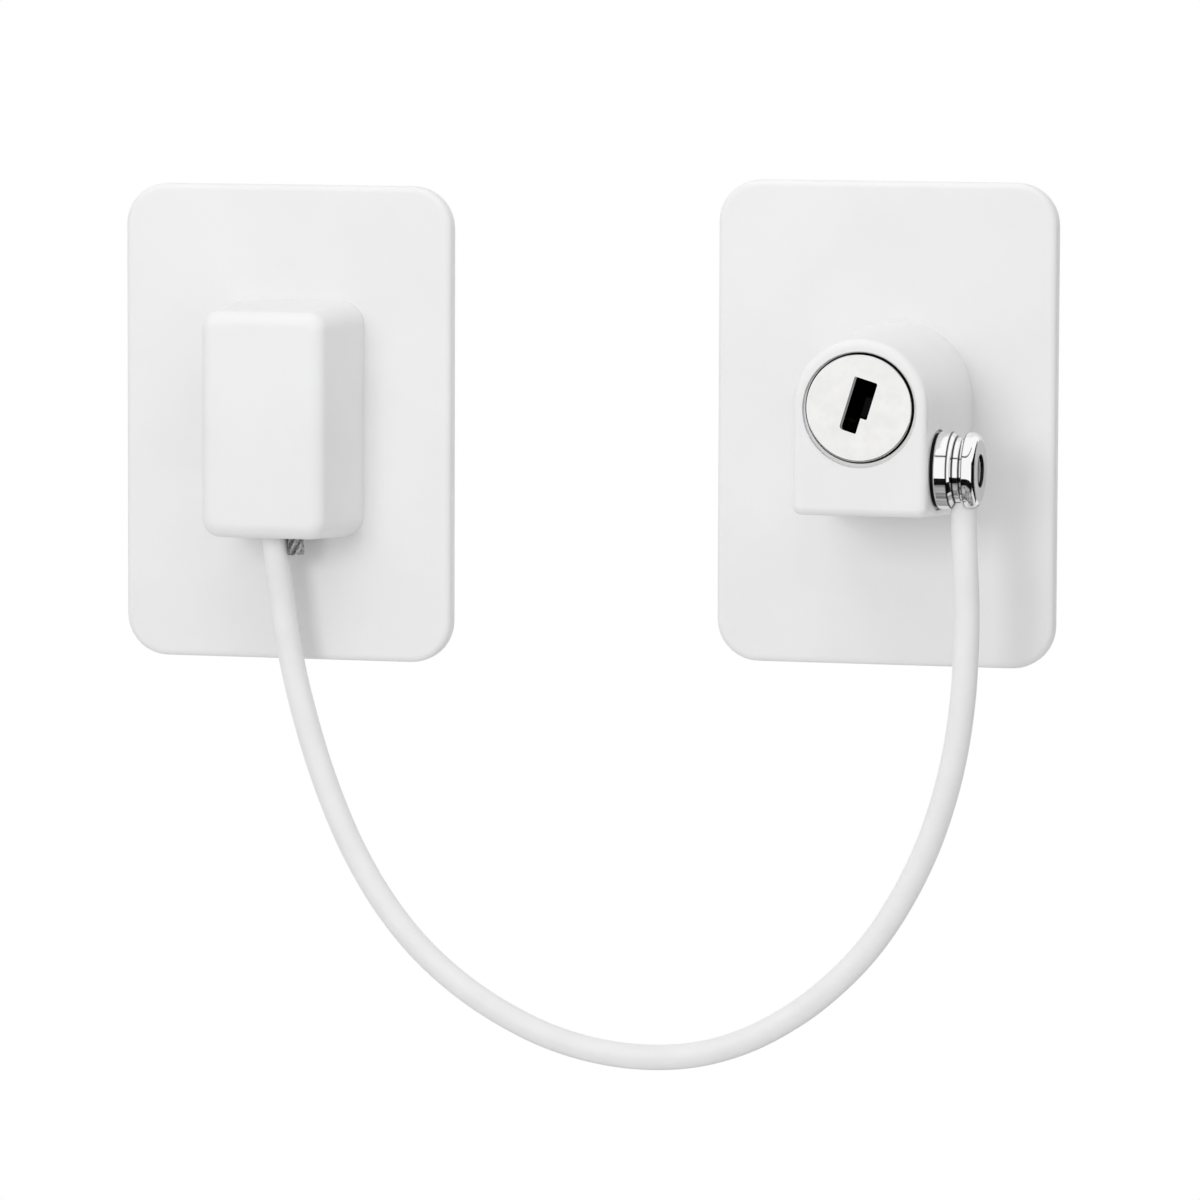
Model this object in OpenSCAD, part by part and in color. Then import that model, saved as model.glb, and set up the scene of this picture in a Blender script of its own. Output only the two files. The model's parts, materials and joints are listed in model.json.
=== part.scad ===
// Cabinet safety lock: two stick-on plates joined by a coated steel cable.
// The left plate carries a closed block that anchors the cable. The right plate carries a key lock,
// and the cable's other end hangs on a knob whose pin the lock holds.
// X runs to the right, Y from the front towards the door, Z up.
// The origin is the middle of the lock pad's sticky face.

/* [Plates] */
// Width of each stick-on plate
plate_w = 57; // [50:1:66]
// Height of each stick-on plate
plate_h = 80; // [70:1:95]
// Thickness of each plate
plate_t = 3; // [2.6:0.1:4]
// Corner radius of each plate
plate_corner_r = 7; // [4:0.5:10]
// Rounding of each plate's front edge
plate_edge_r = 1; // [0.4:0.1:1.2]
// Thickness of the sticky foam pad behind each plate
pad_t = 1; // [0.5:0.1:2]
// Distance from a plate's edge to its pad's edge
pad_margin = 1.5; // [0.5:0.5:4]
// Distance between the two plates' middles, left to right
plate_spacing = 103; // [90:1:115]
// Height of the anchor plate's middle above the lock plate's middle
anchor_rise = -2; // [-6:0.5:6]

/* [Anchor block] */
// Width of the block's front face
cover_w = 21.1; // [19:0.1:26]
// Height of the block's front face
cover_h = 37.6; // [34:0.1:44]
// Depth of the block in front of its plate
cover_d = 19; // [16:0.5:26]
// Spread of each side of the block from front to back
cover_draft = 1.8; // [0.5:0.1:3]
// Spread of the block's top and bottom from front to back
cover_end_draft = 1.1; // [0.5:0.1:3]
// Rounding of the block's front edge
cover_edge_r = 2.3; // [1:0.1:2.4]
// Radius of the block's corners at its front
cover_corner_r = 3; // [2.6:0.1:4]
// Radius of the block's corners at its plate
cover_foot_r = 4; // [2.6:0.1:5]
// Wall of the block
cover_wall = 2; // [1.2:0.1:2.2]
// Block's middle to the right of its plate's middle
cover_shift_x = 1.1; // [-3:0.1:3]
// Block's middle above its plate's middle
cover_shift_z = 0.8; // [-3:0.1:3]

/* [Cable] */
// Diameter of the coated cable
cable_dia = 4.2; // [3.6:0.1:4.2]
// Diameter of the bare wire rope inside it
rope_dia = 2.9; // [2.4:0.1:3.1]
// Distance between the rope's two legs at the ferrule
leg_gap = 3.7; // [3.7:0.1:4.4]
// Height of the cable above the anchor plate's front
cable_height = 8; // [6:0.5:10]
// Eye's middle to the right of the block's middle
eye_shift = 0.9; // [-1:0.1:1]
// Height of the eye's middle above the block's middle
eye_rise = 3.5; // [2:0.5:6]
// Diameter of the post inside the eye
post_dia = 6; // [4:0.5:7]
// Length of the ferrule that closes the eye
ferrule_len = 5; // [4:0.5:6]
// Distance from the eye's middle down to the ferrule's top
ferrule_drop = 10.5; // [9:0.5:12]
// Wall of the ferrule
ferrule_wall = 0.9; // [0.5:0.1:1.2]
// Distance from the block's middle down to the end of the rope's tail
tail_drop = 22.2; // [21:0.1:26]

/* [Lock housing] */
// Radius of the housing's arched top, half the width of its front face
housing_r = 11.1; // [10.8:0.1:14]
// Distance from the cylinder's axis down to the housing's foot
housing_drop = 17.5; // [17:0.5:22]
// Depth of the housing in front of its plate
housing_d = 29; // [26:0.5:36]
// Spread of each side of the housing from front to back
housing_draft = 1.5; // [0.8:0.1:2.5]
// Rounding of the housing's front edge
housing_edge_r = 1.2; // [0.4:0.1:1.6]
// Wall left between the housing's cored-out rear and its outside
housing_wall = 2.2; // [1.5:0.1:3]
// Cylinder's axis to the right of the plate's middle
lock_x = 2; // [-4:0.1:4]
// Cylinder's axis above the plate's middle
lock_z = 4.6; // [0:0.1:8]

/* [Cylinder] */
// Radius of the plug's round face
disc_r = 8.5; // [8.4:0.05:9]
// Gap between the plug's face and the housing's mouth
disc_gap = 0.5; // [0.3:0.05:0.6]
// Thickness of the plug's round face
disc_t = 3.1; // [2:0.1:4]
// Height of the plug's face above the housing's front
disc_proud = 0.5; // [0:0.05:1]
// Width of the shallow step round the housing's mouth
mouth_step = 0.35; // [0.3:0.05:0.6]
// Depth of that step
mouth_step_depth = 0.5; // [0.2:0.1:1]
// Distance of that step's middle below the mouth's middle
mouth_step_drop = 0.25; // [0:0.05:0.25]
// Radius of the plug's barrel
plug_r = 6.2; // [6.1:0.05:6.4]
// Radius of the plug's shoulder in front of the cam
shoulder_r = 7; // [6.6:0.1:7]
// Wall of the fixed sleeve round the barrel
sleeve_wall = 1.15; // [1:0.05:1.3]
// Lean of the keyway to the right of upright, in degrees
key_lean = 17; // [0:1:30]
// Height of the keyway
keyway_h = 8.9; // [8.6:0.1:9.6]
// Keyway's middle above the plug's middle
keyway_rise = 0.35; // [0:0.05:0.4]
// Width of the keyway's upper part
keyway_w = 3.65; // [3:0.05:3.8]
// Width of the keyway's lower part
keyway_foot_w = 2.6; // [1.5:0.05:2.8]
// Height of the keyway's lower part
keyway_foot_h = 2.7; // [2:0.1:4.5]
// Thickness of each wafer
wafer_t = 1; // [0.8:0.05:1]
// Width of each wafer
wafer_w = 6.4; // [6:0.1:6.6]
// Distance a wafer rises out of the barrel
wafer_lift = 0.7; // [0.4:0.05:0.7]

/* [Locking pin] */
// Radius of the pin's head and guide
pin_r = 3; // [2.7:0.05:3.1]
// Radius of the pin's waist, where the cam enters
waist_r = 1.7; // [1.3:0.1:1.8]
// Distance from the cylinder's axis down to the pin's axis
pin_drop = 10.3; // [10.2:0.05:10.6]
// Depth of the pin's axis behind the housing's front
pin_depth = 8; // [7.6:0.1:8.4]
// Length of the pin's head beyond the waist
pin_head_len = 2.9; // [2:0.1:3.4]
// Half the width of the cam's lobe
lobe_half_w = 1.2; // [0.9:0.1:1.3]

/* [Cable knob] */
// Radius of the knob
knob_r = 6.3; // [5.8:0.1:6.4]
// Length of the knob
knob_len = 6.7; // [6.5:0.1:8]
// Length of the knob's inner rim
knob_rim_len = 2.2; // [1.8:0.1:2.6]
// Distance from the knob's inner face to the cable's middle
socket_inset = 4.05; // [3.8:0.05:4.3]
// Width of the groove's floor between the knob's rims
groove_w = 0.9; // [0.6:0.1:1.4]
// Width of each sloped side of that groove
groove_slope = 0.8; // [0.4:0.1:1]
// Depth of that groove
groove_depth = 0.8; // [0.4:0.1:1.2]
// Radius of the pin's spindle inside the knob
spindle_r = 2; // [1.6:0.05:2.1]
// Thickness of the nylon washer behind the knob
washer_t = 0.5; // [0.3:0.05:0.8]

/* [Screws] */
// Radius of the screws that hold block and housing to their plates
screw_r = 1.2; // [1:0.05:1.3]
// Radius of their countersunk heads
screw_head_r = 2.3; // [2:0.1:2.6]
// Length of those screws
screw_len = 11; // [9:0.5:12]
// Wall round each screw in the block
boss_wall = 1.3; // [1:0.1:1.5]

/* [Hidden] */

// Clearances: pieces fixed together, a shaft that turns or slides, and free space
seat_clear = 0.05;
run_clear = 0.05;
free_clear = 0.3;
// Reach of a cut beyond the face that it opens, and the lap of slices that only just meet
cut = 1;
lap = 0.01;
$fn = 64;
hull_fn = 40;

// Colours, as on the product
white = [0.95, 0.95, 0.95];
foam_white = [0.88, 0.88, 0.86];
steel = [0.66, 0.67, 0.69];
nickel = [0.86, 0.85, 0.83];
chrome = [0.80, 0.81, 0.83];
brass = [0.80, 0.66, 0.36];
black_nylon = [0.06, 0.06, 0.06];

// Heights above the door's face
plate_back = pad_t;
plate_front = pad_t + plate_t;
cover_front = plate_front + cover_d;
housing_front = plate_front + housing_d;
cable_h = plate_front + cable_height;

cable_r = cable_dia / 2;
rope_r = rope_dia / 2;
post_r = post_dia / 2;
leg_x = leg_gap / 2;

// Places of the block and of the eye inside it
cover_x = -plate_spacing + cover_shift_x;
cover_z = anchor_rise + cover_shift_z;
eye_x = cover_x + eye_shift;
eye_z = cover_z + eye_rise;
eye_r = post_r + rope_r + 2 * seat_clear;
ferrule_top_z = eye_z - ferrule_drop;
ferrule_bottom_z = ferrule_top_z - ferrule_len;
tail_end_z = cover_z - tail_drop;

// Post in the eye: a rivet through the plate, a standoff, the eye's seat and a round head
rivet_r = 2.2;
rivet_head_r = 3.3;
standoff_ledge = 1.2;
standoff_r = post_r + standoff_ledge;
post_flange = 2;
post_head_r = post_r + post_flange;
post_head_t = 1.2;

// Screws: the head's cone is as high as it is wide on one side
screw_cone_h = screw_head_r - screw_r;
boss_r = screw_r + boss_wall;
boss_inset = boss_r + free_clear;
cover_screw_spots = [
  [0, cover_h / 2 - boss_inset],
  [cover_w / 2 - boss_inset, -cover_h / 2 + boss_inset],
  [-cover_w / 2 + boss_inset, -cover_h / 2 + boss_inset]
];
housing_screw_inset = screw_r + boss_wall;
sleeve_r = plug_r + run_clear + sleeve_wall;
housing_screw_spots = [
  [0, sleeve_r + housing_screw_inset],
  [housing_r - housing_screw_inset, -housing_drop + housing_screw_inset],
  [-housing_r + housing_screw_inset, -housing_drop + housing_screw_inset]
];

// Depths behind the housing's front, along the cylinder
disc_back_d = disc_t - disc_proud;
lobe_t = 3;
cam_front_d = pin_depth - lobe_t / 2 - seat_clear;
chamber_d = pin_depth + pin_r + run_clear + seat_clear;
cam_back_d = chamber_d - 2 * run_clear;
lip_t = 0.7;
sleeve_front_d = chamber_d + lip_t + seat_clear;

// Plug's tail in front of the plate, the clip on it and the end of the sleeve in front of the clip
plug_end_gap = 1.95;
plug_end_d = housing_d - plug_end_gap;
plug_tail = 0.85;
plug_tail_step = 0.2;
clip_t = 0.7;
clip_front_d = plug_end_d - plug_tail - clip_t;
clip_gap = 0.15;
sleeve_back_d = clip_front_d - clip_gap;
sleeve_tail = 1;
keyway_end_d = sleeve_back_d - sleeve_tail;

// Wafers, spread evenly along the sleeve
wafer_lead = 1.6;
first_wafer_d = sleeve_front_d + wafer_lead;
wafer_pitch = (keyway_end_d - wafer_lead - first_wafer_d) / 3;
wafer_d = [for (i = [0:3]) first_wafer_d + i * wafer_pitch];

// Clip's radii and mouth
clip_groove_depth = 1;
clip_groove_r = plug_r - clip_groove_depth;
clip_r = sleeve_r - free_clear;
clip_mouth_w = 8.8;

// Wafers: a window for the key, a lug for the spring and play in their slots
wafer_play = 0.1;
wafer_r = plug_r - wafer_play;
slot_t = wafer_t + 2 * wafer_play;
slot_w = wafer_w + 2 * wafer_play;
window_margin = 0.3;
window_w = keyway_w + 2 * window_margin;
window_h = 8.2;
window_shift = [0.4, -0.1, 0.2, -0.4];
lug_w = 1.35;
lug_h = 1.2;
lug_bottom = 0.6;
pocket_depth = 4;
pocket_w = lug_w + 2 * wafer_play;
spring_wire_r = 0.11;
spring_coil_r = 0.42;
spring_turns = 5;
spring_x = wafer_w / 2 + pocket_w / 2;
spring_low = lug_bottom - pocket_depth + spring_wire_r + seat_clear;
spring_high = lug_bottom - spring_wire_r - seat_clear;
echo(spring_least_gap = (spring_high - spring_low) / spring_turns - 2 * spring_wire_r);

// Cam lobe: its tip clears the pin's waist and overlaps the pin's head
lobe_gap = 0.2;
lobe_tip_r = pin_drop - waist_r - lobe_gap;
lobe_play = 0.4;
cam_key_w = 1.5;
cam_key_depth = 0.8;
dowel_r = 0.8;
dowel_len = 9;
dowel_angle = 135;

// Pin and knob, along X from the cylinder's axis
pin_h = housing_front - pin_depth;
seat_x = housing_r + seat_clear;
washer_x = seat_x + seat_clear;
knob_x = washer_x + washer_t;
knob_end_x = knob_x + knob_len;
recess_r = 2.6;
recess_depth = 1.2;
spindle_end_x = knob_end_x - recess_depth + seat_clear;
head_shoulder_x = -lobe_half_w - lobe_play;
pin_tip_x = head_shoulder_x - pin_head_len;
guide_x = sqrt(pow(lobe_tip_r, 2) - pow(pin_drop - pin_r, 2)) + lobe_half_w;
bore_spare = 0.7;
pin_bore_end_x = pin_tip_x - bore_spare;
socket_x = knob_x + socket_inset;
crimp_top = 2.7;
crimp_len = 1.2;
tap_r = 1.05;
tap_len = 4;
tap_spare = 0.5;

// Small roundings of the housing: its foot's corners beyond the edge, and its core's corners
housing_corner_extra = 0.3;
core_corner_r = 1;

// Least rounding of the inner edge between the block's front and its walls
inner_edge_r = 0.3;

// The cable's route, from the ferrule in the block down, round and up into the knob
CABLE_ROUTE = [
  [-102.85, -12, -14.5], [-102.85, -12, -17.5], [-102.7, -12, -21.5], [-102.2, -12, -26],
  [-101.5, -12, -31], [-100.6, -12.1, -37], [-99.4, -12.2, -43], [-97.7, -12.4, -49.5],
  [-95.5, -12.8, -56.5], [-92.45, -13.2, -64.5], [-88.4, -13.8, -72.9], [-83.1, -14.4, -81.2],
  [-76.9, -15.1, -88.3], [-70, -15.8, -94], [-62.4, -16.5, -98.6], [-53.7, -17.3, -102.3],
  [-44.7, -18, -104.4], [-35.7, -18.8, -104.9], [-26.9, -19.5, -103.8], [-18.3, -20.2, -100.8],
  [-10, -20.8, -95.9], [-3.2, -21.5, -90.2], [2.4, -22, -84], [7.3, -22.6, -76.6], [11.5, -23.2, -68.2],
  [14.5, -23.7, -59.7],
  [16.5, -24.1, -51.4], [17.7, -24.5, -43], [18.2, -24.8, -35.5], [18.3, -24.9, -28],
  [17.95, -25, -20], [17.75, -25, -15], [17.75, -25, -9.7]
];

function unit(v) = v / norm(v);

// Direction of a path at point i, from its neighbours
function heading(path, i) = unit(path[min(i + 1, len(path) - 1)] - path[max(i - 1, 0)]);

// Ring of points round a path's point; side is a direction that the path never takes
function ring(p, t, r, sides, side) =
  let (b = unit(cross(t, side)), m = cross(b, t))
  [for (k = [0:sides - 1]) p + r * cos(360 * k / sides) * b + r * sin(360 * k / sides) * m];

// Round tube along a path
module tube(path, r, sides, side) {
  last = len(path) - 1;
  rings = [for (i = [0:last]) each ring(path[i], heading(path, i), r, sides, side)];
  skin = [
    for (i = [0:last - 1]) for (k = [0:sides - 1])
      let (a = i * sides + k, b = i * sides + (k + 1) % sides)
      each [[a, a + sides, b], [b, a + sides, b + sides]]
  ];
  start_cap = [for (k = [0:sides - 1]) k];
  end_cap = [for (k = [sides - 1:-1:0]) last * sides + k];
  polyhedron(rings, concat(skin, [start_cap, end_cap]), convexity = 6);
}

// Drawing plane flat on the door at (x, z): local Z is the height above the door
module on_door(x, z) {
  translate([x, 0, z]) rotate([90, 0, 0]) children();
}

// Cylinder or cone between two heights
module column(r, low, high) {
  translate([0, 0, low]) cylinder(r = r, h = high - low);
}

// Column placed by depths behind the housing's front
module barrel(r, near_d, far_d) {
  column(r, housing_front - far_d, housing_front - near_d);
}

// Rod along X, placed by its two ends
module rod_x(r, left, right) {
  translate([left, -pin_drop, pin_h]) rotate([0, 90, 0]) cylinder(r = r, h = right - left);
}

// Turned piece on the pin's axis: the outline's points are [radius, distance along X]
module turned_x(outline) {
  translate([0, -pin_drop, pin_h]) rotate([0, 90, 0]) rotate_extrude() polygon(outline);
}

module rounded_rect(w, h, r) {
  square([w - 2 * r, h], center = true);
  square([w, h - 2 * r], center = true);
  for (sx = [-1, 1]) for (sy = [-1, 1])
    translate([sx * (w / 2 - r), sy * (h / 2 - r)]) circle(r);
}

// Round corner post whose top edge is rounded by edge
module soft_post(r, edge, low, high) {
  column(r, low, high - edge, $fn = hull_fn);
  translate([0, 0, high - edge]) rotate_extrude($fn = hull_fn) {
    square([r - edge, edge]);
    translate([r - edge, 0]) intersection() {
      circle(edge, $fn = hull_fn / 2);
      square(edge);
    }
  }
}

module plate_blank() {
  hull()
    for (sx = [-1, 1]) for (sy = [-1, 1])
      translate([sx * (plate_w / 2 - plate_corner_r), sy * (plate_h / 2 - plate_corner_r), 0])
        soft_post(plate_corner_r, plate_edge_r, plate_back, plate_front);
}

module pad() {
  linear_extrude(pad_t)
    rounded_rect(plate_w - 2 * pad_margin, plate_h - 2 * pad_margin, plate_corner_r - pad_margin);
}

// Screw with its head sunk in the plate's back; gap widens it into the hole that it goes through
module screw(gap = 0) {
  column(screw_r + gap, plate_back, plate_back + screw_len + gap);
  translate([0, 0, plate_back])
    cylinder(r1 = screw_head_r + gap, r2 = screw_r + gap, h = screw_cone_h);
}

// Hole for a screw's head and shank through the plate
module screw_hole() {
  screw(seat_clear);
  column(screw_head_r + seat_clear, plate_back - cut, plate_back + lap);
}

// Block's tapered outside, or its cavity when drawn in by a wall
module cover_form(inset) {
  low = inset > 0 ? plate_front - cut : plate_front;
  top = cover_front - inset;
  edge = max(cover_edge_r - inset, inner_edge_r);
  foot_x = cover_w / 2 + cover_draft - cover_foot_r;
  foot_y = cover_h / 2 + cover_end_draft - cover_foot_r;
  hull() for (sx = [-1, 1]) for (sy = [-1, 1]) {
    translate([sx * foot_x, sy * foot_y, 0])
      column(cover_foot_r - inset, low, plate_front + lap, $fn = hull_fn);
    translate([sx * (cover_w / 2 - cover_corner_r), sy * (cover_h / 2 - cover_corner_r), 0])
      soft_post(cover_corner_r - inset, edge, top - edge - lap, top);
  }
}

// Notch in the block's lower wall for the cable and the rope's tail
module cable_notch() {
  half_w = leg_x + cable_r + free_clear;
  top = cable_h + cable_r + free_clear;
  translate([eye_shift, -cover_h / 2 + cover_wall + free_clear, 0]) rotate([90, 0, 0])
    linear_extrude(cover_end_draft + cover_wall + free_clear + cut) {
      translate([-half_w, plate_front - cut]) square([2 * half_w, top - plate_front + cut - cable_r]);
      translate([-leg_x, plate_front]) square([leg_gap, top - plate_front]);
      for (sx = [-1, 1])
        translate([sx * leg_x, top - cable_r - free_clear]) circle(cable_r + free_clear);
    }
}

module anchor_plate() {
  color(white) difference() {
    on_door(-plate_spacing, anchor_rise) plate_blank();
    on_door(cover_x, cover_z) {
      for (p = cover_screw_spots) translate(p) screw_hole();
      translate([eye_shift, eye_rise, 0]) {
        column(rivet_r + seat_clear, plate_back - cut, plate_front + cut);
        translate([0, 0, plate_back])
          cylinder(r1 = rivet_head_r + seat_clear, r2 = rivet_r + seat_clear, h = rivet_head_r - rivet_r);
        column(rivet_head_r + seat_clear, plate_back - cut, plate_back + lap);
      }
    }
  }
}

module anchor_pad() {
  color(foam_white) on_door(-plate_spacing, anchor_rise) pad();
}

module anchor_cover() {
  color(white) on_door(cover_x, cover_z) difference() {
    cover_form(0);
    difference() {
      cover_form(cover_wall);
      for (p = cover_screw_spots) translate(p) column(boss_r, plate_front - 2 * cut, cover_front);
    }
    cable_notch();
    for (p = cover_screw_spots) translate(p) screw_hole();
  }
}

module cover_screws() {
  color(steel) on_door(cover_x, cover_z) for (p = cover_screw_spots) translate(p) screw();
}

// Post riveted through the plate, with the eye round it
module loop_post() {
  eye_low = cable_h - rope_r - seat_clear;
  eye_high = cable_h + rope_r + seat_clear;
  color(steel) on_door(eye_x, eye_z) rotate_extrude() polygon([
    [0, plate_back], [rivet_head_r, plate_back], [rivet_r, plate_back + rivet_head_r - rivet_r],
    [rivet_r, plate_front], [standoff_r, plate_front], [standoff_r, eye_low], [post_r, eye_low],
    [post_r, eye_high], [post_head_r, eye_high], [post_head_r, eye_high + post_head_t],
    [0, eye_high + post_head_t]
  ]);
}

// Bare rope: up from its tail, round the post and down to the coated cable
module wire_eye() {
  foot = [leg_x, -ferrule_drop];
  touch = atan2(foot.y, foot.x) + acos(eye_r / norm(foot));
  steps = 14;
  arc = [for (i = [0:steps]) let (a = touch + (180 - 2 * touch) * i / steps) eye_r * [cos(a), sin(a)]];
  path = concat(
    [[leg_x, tail_end_z - eye_z], [leg_x, -ferrule_drop - ferrule_len], foot],
    arc,
    [[-leg_x, foot.y], [-leg_x, -ferrule_drop - ferrule_len], [-leg_x, CABLE_ROUTE[0].z - eye_z]]
  );
  color(steel) tube([for (p = path) [eye_x + p.x, -cable_h, eye_z + p.y]], rope_r, 10, [0, 1, 0]);
}

module eye_ferrule() {
  outer_r = rope_r + ferrule_wall;
  color(steel) translate([eye_x, -cable_h, ferrule_bottom_z]) linear_extrude(ferrule_len) difference() {
    union() {
      square([leg_gap, 2 * outer_r], center = true);
      for (sx = [-1, 1]) translate([sx * leg_x, 0]) circle(outer_r);
    }
    for (sx = [-1, 1]) translate([sx * leg_x, 0]) circle(rope_r + seat_clear);
  }
}

module cable_jacket() {
  color(white) tube(CABLE_ROUTE, cable_r, 10, [0, 1, 0]);
}

module lock_plate() {
  color(white) difference() {
    on_door(0, 0) plate_blank();
    on_door(lock_x, lock_z) for (p = housing_screw_spots) translate(p) screw_hole();
  }
}

module lock_pad() {
  color(foam_white) on_door(0, 0) pad();
}

// Housing's tapered outside: an arch over the cylinder on a square foot
module housing_form() {
  foot_r = housing_edge_r + housing_corner_extra;
  spread_r = housing_r + housing_draft;
  hull() {
    column(spread_r, plate_front, plate_front + lap);
    soft_post(housing_r, housing_edge_r, housing_front - housing_edge_r - lap, housing_front);
    for (sx = [-1, 1]) {
      translate([sx * (spread_r - foot_r), -housing_drop - housing_draft + foot_r, 0])
        column(foot_r, plate_front, plate_front + lap, $fn = hull_fn);
      translate([sx * (housing_r - foot_r), -housing_drop + foot_r, 0])
        soft_post(foot_r, housing_edge_r, housing_front - housing_edge_r - lap, housing_front);
    }
  }
}

// Hollow cored from the housing's back, between the lower screws and behind the pin
module housing_core() {
  half_w = housing_screw_spots[1].x - housing_screw_inset;
  top = -sleeve_r - housing_wall;
  bottom = -housing_drop + housing_wall;
  high = pin_h - pin_r - housing_wall;
  translate([0, (top + bottom) / 2, plate_front - cut]) linear_extrude(high - plate_front + cut)
    rounded_rect(2 * half_w, top - bottom, core_corner_r);
}

module dowel(gap = 0) {
  rotate([0, 0, dowel_angle]) translate([sleeve_r, 0, 0])
    barrel(dowel_r + gap, sleeve_back_d - dowel_len - gap, sleeve_back_d);
}

module lock_housing() {
  mouth_r = disc_r + disc_gap;
  color(white) on_door(lock_x, lock_z) difference() {
    housing_form();
    barrel(mouth_r, -cut, chamber_d);
    translate([0, -mouth_step_drop, 0]) barrel(mouth_r + mouth_step, -cut, mouth_step_depth);
    barrel(plug_r + free_clear, chamber_d - cut, sleeve_front_d);
    barrel(sleeve_r + seat_clear, sleeve_front_d - seat_clear, housing_d + cut);
    dowel(seat_clear);
    rod_x(pin_r + run_clear, pin_bore_end_x, housing_r + housing_draft + cut);
    rod_x(knob_r + free_clear, seat_x, housing_r + housing_draft + cut);
    housing_core();
    for (p = housing_screw_spots) translate(p) screw_hole();
  }
}

module housing_screws() {
  color(steel) on_door(lock_x, lock_z) for (p = housing_screw_spots) translate(p) screw();
}

// Frame of the keyway: local X to the wafer's right, local Y along the keyway, local Z towards the front
module keyed(turn = 0) {
  on_door(lock_x, lock_z) rotate([0, 0, -key_lean - turn]) children();
}

// Groove in the sleeve that a risen wafer's round end goes into
module wafer_groove() {
  translate([0, 0, housing_front - sleeve_back_d - cut])
    linear_extrude(sleeve_back_d - sleeve_front_d + 2 * cut) intersection() {
      translate([0, wafer_lift]) circle(wafer_r + wafer_play);
      translate([-slot_w / 2 - wafer_play, 0]) square([slot_w + 2 * wafer_play, 2 * plug_r]);
    }
}

module cylinder_sleeve() {
  color(brass) difference() {
    on_door(lock_x, lock_z) difference() {
      barrel(sleeve_r, sleeve_front_d, sleeve_back_d);
      barrel(plug_r + run_clear, sleeve_front_d - cut, sleeve_back_d + cut);
      dowel(seat_clear);
    }
    for (turn = [0, 90]) keyed(turn) wafer_groove();
  }
}

module sleeve_dowel() {
  color(steel) on_door(lock_x, lock_z) dowel();
}

module keyway() {
  left = -keyway_w / 2;
  low = keyway_rise - keyway_h / 2;
  step = low + keyway_foot_h;
  translate([0, 0, housing_front - keyway_end_d]) linear_extrude(keyway_end_d + disc_proud + cut) polygon([
    [left, low], [left + keyway_foot_w, low], [left + keyway_foot_w, step], [left + keyway_w, step],
    [left + keyway_w, low + keyway_h], [left, low + keyway_h]
  ]);
}

// Slot across the barrel for one wafer, with the pocket of its spring
module wafer_slot(i) {
  translate([0, 0, housing_front - wafer_d[i] - slot_t / 2]) {
    translate([-slot_w / 2, -plug_r - cut, 0]) cube([slot_w, 2 * (plug_r + cut), slot_t]);
    translate([0, lug_bottom - pocket_depth, 0])
      cube([wafer_w / 2 + pocket_w, pocket_depth + lug_h + wafer_lift + 2 * wafer_play, slot_t]);
  }
}

module cylinder_plug() {
  bevel = 0.25;
  color(nickel) keyed() difference() {
    union() {
      barrel(disc_r, bevel - disc_proud, disc_back_d);
      translate([0, 0, housing_front + disc_proud - bevel])
        cylinder(r1 = disc_r, r2 = disc_r - bevel, h = bevel);
      barrel(shoulder_r, disc_back_d - bevel, cam_front_d);
      barrel(plug_r, disc_back_d, clip_front_d - seat_clear);
      barrel(clip_groove_r, disc_back_d, plug_end_d);
      barrel(plug_r - plug_tail_step, clip_front_d + clip_t + seat_clear, plug_end_d);
    }
    keyway();
    for (i = [0:3]) wafer_slot(i);
    translate([-plug_r - cut, -cam_key_w / 2 - seat_clear, housing_front - plug_end_d - cut])
      cube([cut + cam_key_depth + seat_clear, cam_key_w + 2 * seat_clear, plug_end_d + cut - cam_front_d]);
  }
}

// Ring with a lobe that points to the right at rest and down into the pin's waist when locked
module locking_cam() {
  bore_r = plug_r + run_clear;
  key_in = plug_r - cam_key_depth;
  color(steel) {
    on_door(lock_x, lock_z) difference() {
      union() {
        barrel(shoulder_r, cam_front_d, cam_back_d);
        intersection() {
          barrel(lobe_tip_r, cam_front_d, cam_front_d + lobe_t);
          translate([0, -lobe_half_w, 0]) cube([lobe_tip_r + cut, 2 * lobe_half_w, housing_front]);
        }
      }
      barrel(bore_r, cam_front_d - cut, cam_back_d + cut);
    }
    keyed() intersection() {
      translate([-shoulder_r, -cam_key_w / 2, 0]) cube([shoulder_r - key_in, cam_key_w, housing_front]);
      barrel((shoulder_r + bore_r) / 2, cam_front_d, cam_back_d);
    }
  }
}

module retaining_clip() {
  color(steel) on_door(lock_x, lock_z) difference() {
    barrel(clip_r, clip_front_d, clip_front_d + clip_t);
    barrel(clip_groove_r + seat_clear, clip_front_d - cut, clip_front_d + clip_t + cut);
    translate([-clip_mouth_w / 2, -clip_r - cut, 0]) cube([clip_mouth_w, clip_r + cut, housing_front]);
  }
}

// Wafer i: a plate with round ends, a window for the key and a lug that its spring pushes
module wafer(i) {
  color(brass) keyed() translate([0, 0, housing_front - wafer_d[i] - wafer_t / 2])
    linear_extrude(wafer_t) difference() {
      union() {
        intersection() {
          circle(wafer_r);
          square([wafer_w, 2 * plug_r], center = true);
        }
        translate([0, lug_bottom]) square([wafer_w / 2 + lug_w, lug_h]);
      }
      translate([0, window_shift[i]]) square([window_w, window_h], center = true);
    }
}

// Spring i under the wafer's lug, an unbroken helix
module wafer_spring(i) {
  steps = spring_turns * 8;
  path = [
    for (k = [0:steps]) let (a = 45 * k, t = k / steps) [
      spring_x + spring_coil_r * cos(a), spring_low + (spring_high - spring_low) * t,
      housing_front - wafer_d[i] + spring_coil_r * sin(a)
    ]
  ];
  color(steel) keyed() tube(path, spring_wire_r, 6, [0, 1, 0]);
}

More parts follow.
